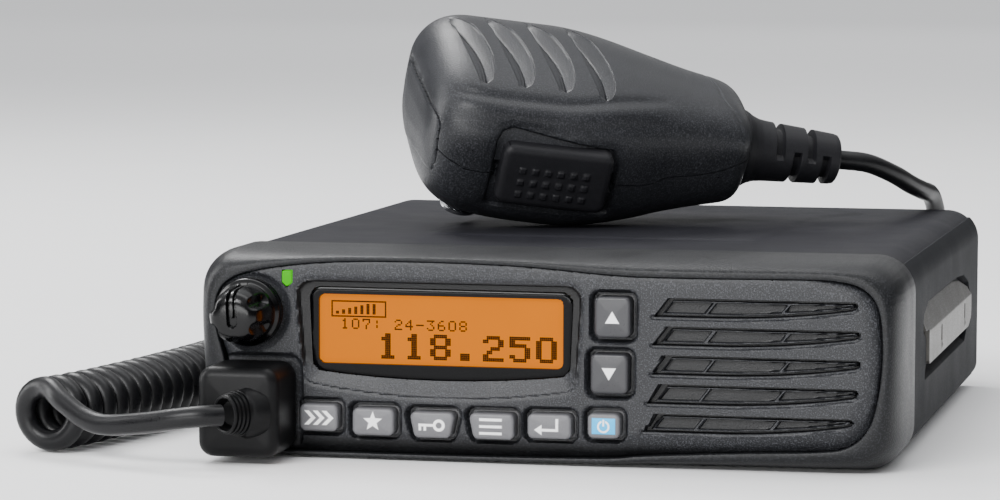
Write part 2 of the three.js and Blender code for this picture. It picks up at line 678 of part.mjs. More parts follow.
// From the coil's rear end, up behind the case and over its edge, to the microphone.
const HAND_LEAD = [
  [-25.1, 124, 9], [-12, 124, 6.6], [2, 122.8, 3.6], [18, 120.5, 2.7], [35, 117.2, 3], [50, 113, 6.6],
  [60.5, 108.6, 14], [66, 104.5, 25], [68, 100.6, 36], [68.4, 95.6, 44.6], [67.8, 88.4, 50.2],
  [66.6, 80, 52], [64.6, 70, 54.2], [61.2, 59.6, 57.6], [55.6, 51, 60.8], [48.45, 46.15, 61.9],
];

// The rounded block of the boot, and its ribbed neck, which is turned towards the coil.
function makePlugBoot() {
  const outline = roundedRectangle(BOOT.left, BOOT.right, BOOT.bottom, BOOT.top, BOOT.radius);
  const block = toSolid(prismY(outline, BOOT.front, BOOT.back, BOOT.edge, 3));
  const neck = turned([[0, 0], [5.6, 0], [5.2, 3], [4.4, 6.2], [0, 6.2]], 16);
  neck.rotateZ(Math.PI - NECK_TURN).translate(...NECK_FOOT);
  return block.add(toSolid(neck));
}

// ---------------------------------------------------------------- the assembly

const assembly = new THREE.Group();
const BLACK = 0x17181a;
const DARK_METAL = 0x2b2c2e;

addTo(assembly, 'front_bezel', makeBezel(), paint(BLACK, 0.55));
const lens = prismY(lensShape(), LENS_FRONT, LENS_FRONT + LENS_THICKNESS);
addTo(assembly, 'display_lens', lens, paint(0xf29100, 0.2));
addTo(assembly, 'lcd_module', boxGeometry(
  LCD_CELL.left, LCD_CELL.right, LCD_CELL.front, LCD_CELL.back, LCD_CELL.bottom, LCD_CELL.top,
), paint(0xb8b8a8, 0.5));
addTo(assembly, 'display_board', makeDisplayBoard(), paint(0x1f5b33, 0.6));
addTo(assembly, 'key_mat', makeKeyMat(), paint(0x4a4c50, 0.8));
for (const key of KEYS) addTo(assembly, key.name, makeKey(key), paint(0x3f4145, 0.5));
addTo(assembly, 'volume_knob', makeKnob(), paint(BLACK, 0.5));
const shaft = cylinderY(SHAFT.radius, SHAFT.front, SHAFT.back, KNOB.x, KNOB.z);
addTo(assembly, 'volume_shaft', shaft, paint(0x9a9a9a, 0.4, 1));
addTo(assembly, 'volume_pot', makePotBody(), paint(0x606468, 0.5, 1));
addTo(assembly, 'status_led', boxGeometry(
  LED.x - LED.width / 2, LED.x + LED.width / 2, LED.front, PANEL_BACK + 2,
  LED.z - LED.height / 2, LED.z + LED.height / 2,
), paint(0x46d24a, 0.3));
addTo(assembly, 'front_speaker', makeLoudspeaker(), paint(0x303030, 0.7));
addTo(assembly, 'speaker_gasket', makeGasket(), paint(0x202020, 0.95));
addTo(assembly, 'mic_jack', makeMicJack(), paint(0x202226, 0.5));

addTo(assembly, 'chassis', makeChassis(), paint(DARK_METAL, 0.45, 0.3));
addTo(assembly, 'top_cover', makeTopCover(), paint(DARK_METAL, 0.45, 0.3));
addTo(assembly, 'bottom_cover', makeBottomCover(), paint(DARK_METAL, 0.45, 0.3));
for (const [name, side] of [['side_plate_left', -1], ['side_plate_right', 1]]) {
  addTo(assembly, name, makeSidePlate(side), paint(0xc4c6c8, 0.35, 1));
}
addTo(assembly, 'main_board', boxGeometry(-66, 66, -46, 76, 8.2, 9.8), paint(0x1f5b33, 0.6));
addTo(assembly, 'shield_can', makeShield(), paint(0xb0b2b4, 0.35, 1));
addTo(assembly, 'power_module', boxGeometry(-62, -8, 58, 74, 10.2, 19), paint(0x2a2a2a, 0.5));
const coaxial = makeRoundSocket(ANTENNA, ANTENNA.radius - 1.8, ANTENNA.bore, CASE.back, 24);
addTo(assembly, 'antenna_socket', coaxial, paint(0xb4b6b8, 0.3, 1));
addTo(assembly, 'power_inlet', makeSocket(POWER, POWER_DEPTH), paint(0x202226, 0.5));
addTo(assembly, 'accessory_socket', makeSocket(ACCESSORY, ACCESSORY_DEPTH), paint(0x8c9094, 0.4, 1));
const jack = makeRoundSocket(
  SPEAKER_JACK, SPEAKER_JACK.radius - 1.2, SPEAKER_JACK.bore, CASE.back - 4, 20,
);
addTo(assembly, 'speaker_jack', jack, paint(0x202226, 0.5));
let screwNumber = 0;
for (const side of [-1, 1]) {
  for (const y of SCREW.ys) {
    screwNumber += 1;
    addTo(assembly, `cover_screw_${screwNumber}`, makeScrew(side * SCREW.x, y), paint(0x303234, 0.35, 1));
  }
}

const hand = new THREE.Group();
hand.position.copy(HAND_PLACE);
hand.rotation.set(
  THREE.MathUtils.degToRad(HAND_TURN.tilt),
  THREE.MathUtils.degToRad(HAND_TURN.pitch),
  THREE.MathUtils.degToRad(HAND_TURN.yaw),
  'ZYX',
);
assembly.add(hand);

const shells = makeHandShells();
addTo(hand, 'mic_front_shell', shells.frontShell, paint(BLACK, 0.55));
addTo(hand, 'mic_back_shell', shells.backShell, paint(BLACK, 0.55));
addTo(hand, 'mic_end_cap', boxGeometry(-0.8, 1.2, -13, 13, -5.5, 6), paint(0x1c1d1f, 0.6));
addTo(hand, 'talk_button', makeTalkButton(), paint(0x1d1e20, 0.6));
addTo(hand, 'talk_switch', boxGeometry(28, 34, -21.3, -18.2, -3, 3), paint(0x26282c, 0.5));
addTo(hand, 'mic_speaker', makeHandSpeaker(), paint(0x303030, 0.7));
addTo(hand, 'mic_element', cylinderZ(3, 0.5, 6, 60, 0, 16), paint(0xa8a8a8, 0.4, 1));
addTo(hand, 'mic_board', makeHandBoard(), paint(0x1f5b33, 0.6));
addTo(hand, 'mic_strain_relief', makeRelief(), paint(0x17181a, 0.65));
addTo(hand, 'hanger_stud', makeStud(), paint(0xd0d2d4, 0.15, 1));

addTo(assembly, 'plug_boot', makePlugBoot(), paint(0x17181a, 0.65));
addTo(assembly, 'mic_plug', boxGeometry(
  PLUG.left, PLUG.right, PLUG.front, PLUG.back, PLUG.bottom, PLUG.top,
), paint(0xc8c8c0, 0.3));
addTo(assembly, 'cord_coil', tube(COIL_LINE, COIL, 22, 12), paint(BLACK, 0.5));
addTo(assembly, 'plug_lead', tube(PLUG_LEAD, CORD, 9, 10), paint(BLACK, 0.5));
addTo(assembly, 'hand_lead', tube(HAND_LEAD, CORD, 20, 10), paint(BLACK, 0.5));

export default assembly;
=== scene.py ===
"""Looks of a panel-mount airband radio with a hand microphone and a curly cord.

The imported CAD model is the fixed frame. Shapes are worked out in millimetres in
the frame's own axes, +X to the right, +Y into the depth of the set and +Z up,
and go into the meshes in metres.
"""

import logging
import math
from dataclasses import dataclass
from enum import Enum
from typing import Callable, Optional, Sequence, Union

import bmesh
import bpy
import numpy as np
from mathutils import Matrix


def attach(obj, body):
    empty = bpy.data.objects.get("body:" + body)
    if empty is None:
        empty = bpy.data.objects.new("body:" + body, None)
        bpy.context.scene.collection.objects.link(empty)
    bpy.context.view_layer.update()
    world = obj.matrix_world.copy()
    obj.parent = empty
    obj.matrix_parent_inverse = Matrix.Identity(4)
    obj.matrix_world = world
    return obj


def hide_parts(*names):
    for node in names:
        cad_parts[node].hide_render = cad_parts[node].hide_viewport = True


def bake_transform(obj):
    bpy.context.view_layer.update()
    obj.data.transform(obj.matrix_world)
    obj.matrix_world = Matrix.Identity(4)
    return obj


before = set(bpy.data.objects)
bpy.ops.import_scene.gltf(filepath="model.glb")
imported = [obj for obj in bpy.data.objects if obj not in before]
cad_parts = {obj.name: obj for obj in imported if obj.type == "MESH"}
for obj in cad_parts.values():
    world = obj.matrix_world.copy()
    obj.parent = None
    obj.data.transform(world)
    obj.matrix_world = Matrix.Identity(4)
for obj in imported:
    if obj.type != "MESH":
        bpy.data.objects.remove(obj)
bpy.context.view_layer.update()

Array = np.ndarray
Thing = bpy.types.Object
# A value over two directions, such as the signed distance to an outline.
Distance = Callable[[Array, Array], Array]
Number = Union[float, "Signal"]

MM = 0.001
# The axes that a wall's across, up and depth run along, by the way that it faces.
FRONT, SIDE, LEVEL = (0, 2, 1), (1, 2, 0), (0, 1, 2)
SMOOTH_ANGLE = 38.0
LOG = logging.getLogger("radio")


# ---- numbers

def smooth(low: float, high: float, value: Array) -> Array:
    """A smooth step: 0 up to low, 1 from high, and a cubic ease between."""
    part = np.clip((value - low) / (high - low), 0, 1)
    return part * part * (3 - 2 * part)


def power(value: Array, exponent: float) -> Array:
    """A signed power, which keeps the sign of the value."""
    return np.sign(value) * np.abs(value) ** exponent


def inset(corners: Array, amount: float) -> Array:
    """Moves every side of a convex polygon inwards by the same amount.

    Args:
        corners: the polygon's corners, run anticlockwise.
        amount: how far each side moves, negative to grow it.

    Returns:
        The new corners, each at the crossing of its two moved sides.
    """
    side = np.roll(corners, -1, axis=0) - corners
    side = side / np.linalg.norm(side, axis=1, keepdims=True)
    normal = np.stack([-side[:, 1], side[:, 0]], axis=1)
    before = np.roll(normal, 1, axis=0)
    meeting = 1 + np.sum(normal * before, axis=1, keepdims=True)
    return corners + amount * (normal + before) / meeting


def travelled(line: Array) -> Array:
    """The length along a line from its start to each of its points."""
    return np.concatenate([[0], np.cumsum(np.linalg.norm(np.diff(line, axis=0), axis=1))])


def resample(points: Array, count: int, closed: bool = True) -> Array:
    """Spaces points evenly along a line, by linear steps over its length."""
    line = np.vstack([points, points[:1]]) if closed else points
    along = travelled(line)
    wanted = np.linspace(0, along[-1], count, endpoint=not closed)
    return np.stack([np.interp(wanted, along, line[:, k]) for k in range(line.shape[1])], axis=1)


def spline(points: Sequence, steps: int, closed: bool = False) -> Array:
    """A Catmull-Rom curve: each cubic span takes its slopes from the points on either side."""
    knots = np.asarray(points, float)
    if closed:
        padded = np.vstack([knots[-1:], knots, knots[:2]])
    else:
        padded = np.vstack([2 * knots[:1] - knots[1:2], knots, 2 * knots[-1:] - knots[-2:-1]])
    spans = len(padded) - 3
    part = np.linspace(0, 1, steps, endpoint=False)[None, :, None]
    a, b, c, d = (padded[k:k + spans, None, :] for k in range(4))
    curve = 0.5 * (2 * b + (c - a) * part + (2 * a - 5 * b + 4 * c - d) * part ** 2
                   + (3 * b - a - 3 * c + d) * part ** 3)
    curve = curve.reshape(-1, knots.shape[1])
    return curve if closed else np.vstack([curve, knots[-1:]])


def rounded(corners: Sequence, radius: float, count: int) -> Array:
    """A convex polygon with round corners, as evenly spaced points.

    The polygon is moved in by the radius, and an arc of that radius joins each
    pair of sides.
    """
    core = inset(np.asarray(corners, float), radius)
    side = np.roll(core, -1, axis=0) - core
    angle = np.arctan2(-side[:, 0], side[:, 1])
    before = np.roll(angle, 1)
    turn = np.mod(angle - before, 2 * math.pi)
    part = np.linspace(0, 1, 9)
    sweep = before[:, None] + turn[:, None] * part
    arcs = core[:, None, :] + radius * np.stack([np.cos(sweep), np.sin(sweep)], axis=2)
    return resample(arcs.reshape(-1, 2), count)


def polygon_distance(a: Array, b: Array, corners: Array, reach: float) -> Array:
    """Signed distance to a polygon: negative inside, and cut off at the reach outside it."""
    low, high = corners.min(axis=0) - reach, corners.max(axis=0) + reach
    near = (a > low[0]) & (a < high[0]) & (b > low[1]) & (b < high[1])
    point = np.stack([a[near], b[near]], axis=1)[:, None, :]
    start = corners[None]
    edge = np.roll(corners, -1, axis=0)[None] - start
    offset = point - start
    along = np.clip(np.sum(offset * edge, axis=2) / np.sum(edge * edge, axis=2), 0, 1)
    gap = np.sqrt(np.min(np.sum((offset - along[..., None] * edge) ** 2, axis=2), axis=1))
    rise = edge[..., 1] + (edge[..., 1] == 0)
    crossing = start[..., 0] + edge[..., 0] * (point[..., 1] - start[..., 1]) / rise
    end = start + edge
    straddles = (start[..., 1] > point[..., 1]) != (end[..., 1] > point[..., 1])
    inside = np.sum(straddles & (point[..., 0] < crossing), axis=1) % 2 == 1
    result = np.full(a.shape, reach, float)
    result[near] = np.minimum(np.where(inside, -gap, gap), reach)
    return result


def outline(corners: Sequence, rounding: float = 0.0, reach: float = 6.0) -> Distance:
    """The signed distance to a convex polygon with round corners, as a function."""
    core = np.asarray(corners, float)
    core = inset(core, rounding) if rounding else core
    return lambda a, b: polygon_distance(a, b, core, reach + rounding) - rounding


def curve_outline(points: Array, reach: float = 6.0) -> Distance:
    """The signed distance to a closed line of points, as a function."""
    return lambda a, b: polygon_distance(a, b, points, reach)


def box_corners(left: float, right: float, low: float, high: float) -> Array:
    """The four corners of a rectangle, run anticlockwise."""
    return np.array([[left, low], [right, low], [right, high], [left, high]], float)


def spacing(stops: Sequence[tuple[float, float]]) -> Array:
    """Grid lines whose spacing changes along the way.

    Args:
        stops: pairs of a place and the cell size from there to the next place.

    Returns:
        The places of all grid lines.
    """
    lines = []
    for (start, cell), (end, _) in zip(stops[:-1], stops[1:]):
        cells = max(1, round((end - start) / cell))
        lines.append(np.linspace(start, end, cells, endpoint=False))
    return np.concatenate([*lines, [stops[-1][0]]])


# ---- shaders

class Signal:
    """A socket that carries a number, so that shader maths reads as arithmetic."""

    def __init__(self, tree: bpy.types.NodeTree, socket: bpy.types.NodeSocket) -> None:
        """Keeps the node tree and the output socket that the number comes from."""
        self.tree = tree
        self.socket = socket

    def maths(self, operation: str, first: Number, second: Number = 0.0) -> "Signal":
        """Adds one Math node for an operation on two numbers or signals."""
        node = self.tree.nodes.new("ShaderNodeMath")
        node.operation = operation
        for index, term in enumerate((first, second)):
            if isinstance(term, Signal):
                self.tree.links.new(term.socket, node.inputs[index])
            else:
                node.inputs[index].default_value = term
        return Signal(self.tree, node.outputs[0])

    def __add__(self, other: Number) -> "Signal":
        """Signal plus a number or signal."""
        return self.maths("ADD", self, other)

    def __sub__(self, other: Number) -> "Signal":
        """Signal minus a number or signal."""
        return self.maths("SUBTRACT", self, other)

    def __rsub__(self, other: Number) -> "Signal":
        """A number minus the signal."""
        return self.maths("SUBTRACT", other, self)

    def __mul__(self, other: Number) -> "Signal":
        """Signal times a number or signal."""
        return self.maths("MULTIPLY", self, other)

    __radd__ = __add__
    __rmul__ = __mul__

    def clamped(self) -> "Signal":
        """The signal held between 0 and 1."""
        return self.maths("MINIMUM", self.maths("MAXIMUM", self, 0.0), 1.0)


def linear(code: str) -> tuple[float, float, float, float]:
    """A display colour such as 17181a as linear red, green and blue, with full alpha."""
    shown = np.array([int(code[k:k + 2], 16) for k in (0, 2, 4)]) / 255
    light = np.where(shown <= 0.04045, shown / 12.92, ((shown + 0.055) / 1.055) ** 2.4)
    return (*light.tolist(), 1.0)


class Recipe:
    """One material under construction: a Principled shader and the nodes that feed it."""

    def __init__(self, name: str) -> None:
        """Starts an empty node tree with a Principled shader and an output."""
        self.material = bpy.data.materials.new(name)
        self.material.use_nodes = True
        self.tree = self.material.node_tree
        self.tree.nodes.clear()
        self.shader = self.tree.nodes.new("ShaderNodeBsdfPrincipled")
        output = self.tree.nodes.new("ShaderNodeOutputMaterial")
        self.tree.links.new(self.shader.outputs["BSDF"], output.inputs["Surface"])
        self.place = self.node("ShaderNodeTexCoord").outputs["Object"]

    def node(self, kind: str, settings: Optional[dict] = None,
             inputs: Optional[dict] = None) -> bpy.types.Node:
        """Adds a node of any type.

        Args:
            kind: the node's type.
            settings: properties to set first, such as an operation; stops are a ramp's
                places and colours.
            inputs: values, signals or sockets for the input sockets, by name or index.

        Returns:
            The new node.
        """
        node = self.tree.nodes.new(kind)
        for name, value in (settings or {}).items():
            if name == "stops":
                ramp = node.color_ramp.elements
                while len(ramp) < len(value):
                    ramp.new(0.5)
                for element, (position, colour) in zip(ramp, value):
                    element.position = position
                    element.color = colour
            else:
                setattr(node, name, value)
        for name, value in (inputs or {}).items():
            self.feed(node.inputs[name], value)
        return node

    def feed(self, socket: bpy.types.NodeSocket, value: object) -> None:
        """Links a signal or socket to an input, or sets the input's own value."""
        if isinstance(value, Signal):
            self.tree.links.new(value.socket, socket)
        elif isinstance(value, bpy.types.NodeSocket):
            self.tree.links.new(value, socket)
        else:
            socket.default_value = value

    def noise(self, size: float, detail: float = 2.0, stretch: Sequence[float] = (1, 1, 1)) -> Signal:
        """Noise around 0.5 whose blobs measure a size in millimetres, stretched along the axes."""
        scale = [1 / (size * MM * part) for part in stretch]
        mapping = self.node("ShaderNodeMapping", inputs={"Vector": self.place, "Scale": scale})
        noise = self.node("ShaderNodeTexNoise", inputs={
            "Vector": mapping.outputs[0], "Scale": 1.0, "Detail": detail, "Roughness": 0.55,
        })
        return Signal(self.tree, noise.outputs["Fac"])

    def attribute(self, name: str) -> Signal:
        """A number stored on the piece's own points."""
        node = self.node("ShaderNodeAttribute", {"attribute_name": name})
        return Signal(self.tree, node.outputs["Fac"])

    def blend(self, share: Number, first: object, second: object) -> bpy.types.NodeSocket:
        """Mixes two colours by a share from 0 to 1."""
        node = self.node("ShaderNodeMix", {"data_type": "RGBA"}, {0: share, 6: first, 7: second})
        return node.outputs[2]

    def bump(self, height: Signal, depth: float) -> None:
        """Feeds the shader's normal from a height, where 1 stands a depth in millimetres high."""
        node = self.node("ShaderNodeBump", inputs={"Height": height, "Distance": depth * MM, "Strength": 1.0})
        self.feed(self.shader.inputs["Normal"], node.outputs[0])

    def set(self, **values: object) -> None:
        """Sets or links the shader's inputs, named with underscores for spaces."""
        names = {key.lower(): key for key in self.shader.inputs.keys()}
        for name, value in values.items():
            self.feed(self.shader.inputs[names[name.replace("_", " ")]], value)


@dataclass(frozen=True)
class Moulded:
    """Moulded plastic or rubber: a spark-eroded grain, a faint mottle and polish from handling.

    The grain's size and depth are in millimetres. The lighter colour on the grain's peaks is a painted
    glint, standing in for where they catch the light. Ink is the colour that the piece's ink attribute
    draws; the other attribute colour draws a printed tint on a key and painted shade on the panel.
    """

    name: str
    colour: str
    rough: float = 0.5
    grain: float = 0.45
    depth: float = 0.03
    mottle: float = 0.25
    polish: float = 0.06
    coat: float = 0.0
    ink: Optional[str] = None
    patch: Optional[str] = None
    painted_glint_colour: Optional[str] = None
    painted_glint_share: float = 0.5
    shine: float = 0.5

    def build(self) -> bpy.types.Material:
        """Builds the material's nodes."""
        recipe = Recipe(self.name)
        grain = recipe.noise(self.grain, 1.0)
        cloud = recipe.noise(14.0, 2.0)
        base = linear(self.colour)
        lift = 1 + self.mottle
        light = (*[min(1.0, part * lift) for part in base[:3]], 1.0)
        dark = (*[part / lift for part in base[:3]], 1.0)
        share = ((grain - 0.5) * 1.6 + (cloud - 0.5) * 0.7 + 0.5).clamped()
        colour = recipe.blend(share, dark, light)
        rough = (grain - 0.5) * 0.35 + (cloud - 0.5) * self.polish * 3 + self.rough
        # Painted glints: the grain's peaks are lightened in the base colour.
        if self.painted_glint_colour:
            painted_glints = ((grain - 0.52) * 7.0 + (cloud - 0.5) * 0.5).clamped() * self.painted_glint_share
            colour = recipe.blend(painted_glints, colour, linear(self.painted_glint_colour))
        # This attribute's colour is a printed tint on a key and painted shade on the panel.
        if self.patch:
            colour = recipe.blend(recipe.attribute("patch"), colour, linear(self.patch))
        if self.ink:
            ink = recipe.attribute("ink")
            colour = recipe.blend(ink, colour, linear(self.ink))
            rough = rough + ink * 0.1
        recipe.set(base_color=colour, roughness=rough.clamped(), coat_weight=self.coat, coat_roughness=0.12,
                   specular_ior_level=self.shine)
        recipe.bump(grain, self.depth)
        return recipe.material


@dataclass(frozen=True)
class Metal:
    """Bare or plated metal, brushed along one axis: stretch is the brush mark's proportions."""

    name: str
    colour: str
    rough: float = 0.3
    stretch: tuple[float, float, float] = (1, 1, 1)
    depth: float = 0.004
    grain: float = 0.3

    def build(self) -> bpy.types.Material:
        """Builds the material's nodes."""
        recipe = Recipe(self.name)
        brush = recipe.noise(self.grain, 3.0, self.stretch)
        cloud = recipe.noise(9.0, 2.0)
        base = linear(self.colour)
        dull = (*[part * 0.72 for part in base[:3]], 1.0)
        share = ((brush - 0.5) * 1.2 + (cloud - 0.5) * 0.8 + 0.5).clamped()
        rough = (brush - 0.5) * 0.3 + (cloud - 0.5) * 0.2 + self.rough
        recipe.set(base_color=recipe.blend(share, dull, base), metallic=1.0, roughness=rough.clamped())
        recipe.bump(brush, self.depth)
        return recipe.material


@dataclass(frozen=True)
class Lit:
    """A glowing window: light comes evenly from behind a colour, and painted shade dims it a little at the
    edges.
    """

    name: str
    colour: str
    glow: float
    rough: float = 0.25
    painted_edge_shade: float = 0.25

    def build(self) -> bpy.types.Material:
        """Builds the material's nodes."""
        recipe = Recipe(self.name)
        cloud = recipe.noise(11.0, 1.0)
        fine = recipe.noise(0.35, 1.0)
        base = linear(self.colour)
        deep = (base[0] * 0.86, base[1] * 0.82, base[2] * 0.8, 1.0)
        # Painted shade: the edge attribute darkens the glow near the window's edge.
        edge = recipe.attribute("edge")
        share = (cloud * 0.45 + 0.45 - edge * self.painted_edge_shade + (fine - 0.5) * 0.1).clamped()
        colour = recipe.blend(share, deep, base)
        shade = recipe.blend(0.85, colour, (0.0, 0.0, 0.0, 1.0))
        recipe.set(base_color=shade, roughness=self.rough, emission_color=colour, emission_strength=self.glow,
                   specular_ior_level=0.03)
        recipe.bump(fine, 0.002)
        return recipe.material


class Finish(Enum):
    """Every finish on the object."""

    # Each lighter grain colour below is a painted glint on the grain's peaks.
    BEZEL = Moulded("bezel_grained", "101113", 0.42, 0.36, 0.075, 0.4, painted_glint_colour="46474c", painted_glint_share=0.22,
                     shine=0.26)
    # The panel's near-black 020203 is painted shade, drawn on its surround, louvres and foot.
    PANEL = Moulded("panel_grained", "1b1c1f", 0.44, 0.34, 0.090, 0.4, painted_glint_colour="6c6d73", painted_glint_share=0.24,
                     patch="020203", shine=0.34)
    CASE = Moulded("case_satin", "1f1f23", 0.55, 0.26, 0.014, 0.25, 0.08, painted_glint_colour="34343a", painted_glint_share=0.4,
                    shine=0.08)
    CASTING = Moulded("casting_satin", "18191c", 0.62, 0.30, 0.020, 0.25, painted_glint_colour="303136", shine=0.07)
    HAND = Moulded("hand_grained", "1c1d20", 0.40, 0.38, 0.070, 0.4, painted_glint_colour="4a4b50", painted_glint_share=0.28, shine=0.30)
    RUBBER = Moulded("grip_matt", "151518", 0.52, 0.25, 0.006, 0.20, painted_glint_colour="222225", shine=0.22)
    BOOT = Moulded("boot_satin", "070708", 0.42, 0.22, 0.005, 0.20, painted_glint_colour="101113", shine=0.16)
    CORD = Moulded("cord_vinyl", "0b0b0d", 0.36, 0.30, 0.006, 0.20, painted_glint_colour="161719", shine=0.25)
    KNOB = Moulded("knob_gloss", "020203", 0.20, 0.20, 0.002, 0.2, shine=0.28)
    KEY_LIGHT = Moulded("key_grey", "606063", 0.40, 0.30, 0.006, 0.10, ink="ffffff")
    KEY_DARK = Moulded("key_dark", "2e2e31", 0.38, 0.30, 0.006, 0.10, ink="ffffff")
    KEY_BLUE = Moulded("key_blue", "606063", 0.40, 0.30, 0.006, 0.10, ink="ffffff", patch="00b4f2")
    GLASS = Moulded("glass_black", "030304", 0.16, 0.5, 0.0005, 0.2, 0.01, shine=0.14)
    SOCKET = Moulded("socket_black", "101113", 0.45, 0.3, 0.008, 0.2)
    PLUG = Moulded("plug_clear", "b9bab4", 0.25, 0.4, 0.002, 0.05, coat=0.4)
    FOAM = Moulded("foam_black", "151515", 0.9, 0.5, 0.12, 0.4)
    CONE = Moulded("cone_paper", "1c1b1a", 0.75, 0.35, 0.05, 0.4)
    MAT = Moulded("mat_silicone", "3d3e41", 0.7, 0.3, 0.01, 0.2)
    BOARD = Moulded("board_green", "12532b", 0.35, 1.4, 0.02, 0.5, coat=0.3)
    INKED = Moulded("ink_brown", "1c0c00", 0.5, 0.3, 0.0005, 0.15, shine=0.04)
    STEEL = Metal("steel_turned", "8d8f92", 0.34, (1, 1, 8))
    CATCH = Metal("catch_brushed", "6e6c69", 0.42, (1, 14, 1), 0.002, 0.22)
    BRIGHT = Metal("stud_chrome", "d6d7d9", 0.10, (1, 1, 1), 0.0005)
    PLATED = Metal("socket_nickel", "b9bbbd", 0.22, (1, 6, 1), 0.002)
    SCREW = Metal("screw_blacked", "3a3b3d", 0.35, (1, 1, 1), 0.004)
    AMBER = Lit("cell_amber", "ff8c00", 0.74)
    GREEN = Lit("lamp_green", "50e010", 0.75)

    def material(self) -> bpy.types.Material:
        """The finish's material, built the first time that it is asked for."""
        return bpy.data.materials.get(self.value.name) or self.value.build()


# ---- meshes

class Shell:
    """Gathers patches of points and faces, in millimetres, for one mesh."""

    def __init__(self) -> None:
        """Starts with nothing in it."""
        self.points: list[Array] = []
        self.faces: list[Array] = []
        self.marks: dict[str, list[Array]] = {"ink": [], "patch": [], "edge": []}
        self.count = 0

    def grid(self, points: Array, wrap_rows: bool = False, wrap_columns: bool = False,
             keep: Optional[Array] = None, **marks: Array) -> Array:
        """Adds a grid of points and a quad for each of its cells.

        Args:
            points: rows by columns by three.
            wrap_rows: joins the last row to the first.
            wrap_columns: joins the last column to the first.
            keep: which cells get a quad; all of them if left out.
            marks: values at the points for ink, for a tint with painted shade, and for the painted shade at a
                lit cell's edge.

        Returns:
            The numbers of the points, rows by columns.
        """
        rows, columns = points.shape[:2]
        index = self.count + np.arange(rows * columns).reshape(rows, columns)
        self.points.append(points.reshape(-1, 3))
        for name, values in self.marks.items():
            values.append(np.broadcast_to(marks.get(name, 0.0), (rows, columns)).reshape(-1))
        self.count += rows * columns
        wide = np.hstack([index, index[:, :1]]) if wrap_columns else index
        tall = np.vstack([wide, wide[:1]]) if wrap_rows else wide
        quads = np.stack([tall[:-1, :-1], tall[:-1, 1:], tall[1:, 1:], tall[1:, :-1]], axis=2)
        quads = quads.reshape(-1, 4) if keep is None else quads[keep]
        self.faces.append(quads)
        return index

    def quads(self, faces: Array) -> None:
        """Adds quads between points that are already there."""
        self.faces.append(faces.reshape(-1, 4))

    def piece(self, name: str, finish: Finish, place: Optional[Matrix] = None, closed: bool = True,
              outward: Sequence[float] = (0, -1, 0), merge: float = 1e-4) -> Thing:
        """Turns the patches into one object with a finish.

        Args:
            name: the piece's name.
            finish: what it is made of.
            place: the turn and place of the piece, in millimetres, if it isn't in the set's axes.
            closed: whether the mesh encloses a body; an open skin faces the outward direction.
            outward: the side that an open skin faces.
            merge: points nearer than this, in millimetres, become one.

        Returns:
            The new object.
        """
        points = np.concatenate(self.points)
        if place is not None:
            turn = np.array(place)
            points = points @ turn[:3, :3].T + turn[:3, 3]
        faces = np.concatenate(self.faces)
        mesh = bpy.data.meshes.new(name)
        mesh.vertices.add(len(points))
        mesh.vertices.foreach_set("co", (points * MM).astype(np.float32).reshape(-1))
        mesh.loops.add(faces.size)
        mesh.loops.foreach_set("vertex_index", faces.astype(np.int32).reshape(-1))
        mesh.polygons.add(len(faces))
        mesh.polygons.foreach_set("loop_start", np.arange(0, faces.size, 4, dtype=np.int32))
        for mark, values in self.marks.items():
            worth = np.concatenate(values)
            if worth.any():
                layer = mesh.attributes.new(mark, "FLOAT", "POINT")
                layer.data.foreach_set("value", worth.astype(np.float32))
        mesh.update(calc_edges=True)
        mesh.validate()
        body = bmesh.new()
        body.from_mesh(mesh)
        bmesh.ops.remove_doubles(body, verts=body.verts, dist=merge * MM)
        bmesh.ops.dissolve_degenerate(body, edges=body.edges, dist=merge * MM)
        loose = [vert for vert in body.verts if not vert.link_faces]
        bmesh.ops.delete(body, geom=loose, context="VERTS")
        bmesh.ops.recalc_face_normals(body, faces=body.faces)
        if not closed:
            facing = sum(face.normal.dot(outward) * face.calc_area() for face in body.faces)
            if facing < 0:
                bmesh.ops.reverse_faces(body, faces=body.faces)
        body.to_mesh(mesh)
        body.free()
        mesh.shade_smooth()
        mesh.set_sharp_from_angle(angle=math.radians(SMOOTH_ANGLE))
        mesh.materials.append(finish.material())
        thing = bpy.data.objects.new(name, mesh)
        bpy.context.scene.collection.objects.link(thing)
        return thing


def stacked(outlines: Sequence[Array], heights: Sequence[float], rings: int, crown: float) -> Array:
    """A lofted body in its own axes: outlines stacked at heights, closed by a middle at each end.

    Args:
        outlines: one outline of points for each height.
        heights: where each outline stands, from the back to the front.
        rings: how many rings fill the front face, which the crown lifts as a shallow dome.
        crown: how far the middle of the face stands past its edge.

    Returns:
        Rows by columns by three: across, up and height.
    """
    first, last = outlines[0], outlines[-1]
    rows = [np.broadcast_to(np.append(first.mean(axis=0), heights[0]), (len(first), 3))]
    rows += [np.column_stack([line, np.full(len(line), height)]) for line, height in zip(outlines, heights)]
    middle = last.mean(axis=0)
    for part in np.linspace(1, 0, rings + 1)[1:]:
        line = middle + (last - middle) * part
        height = heights[-1] + crown * (1 - part ** 2)
        rows.append(np.column_stack([line, np.full(len(line), height)]))
    return np.stack(rows)


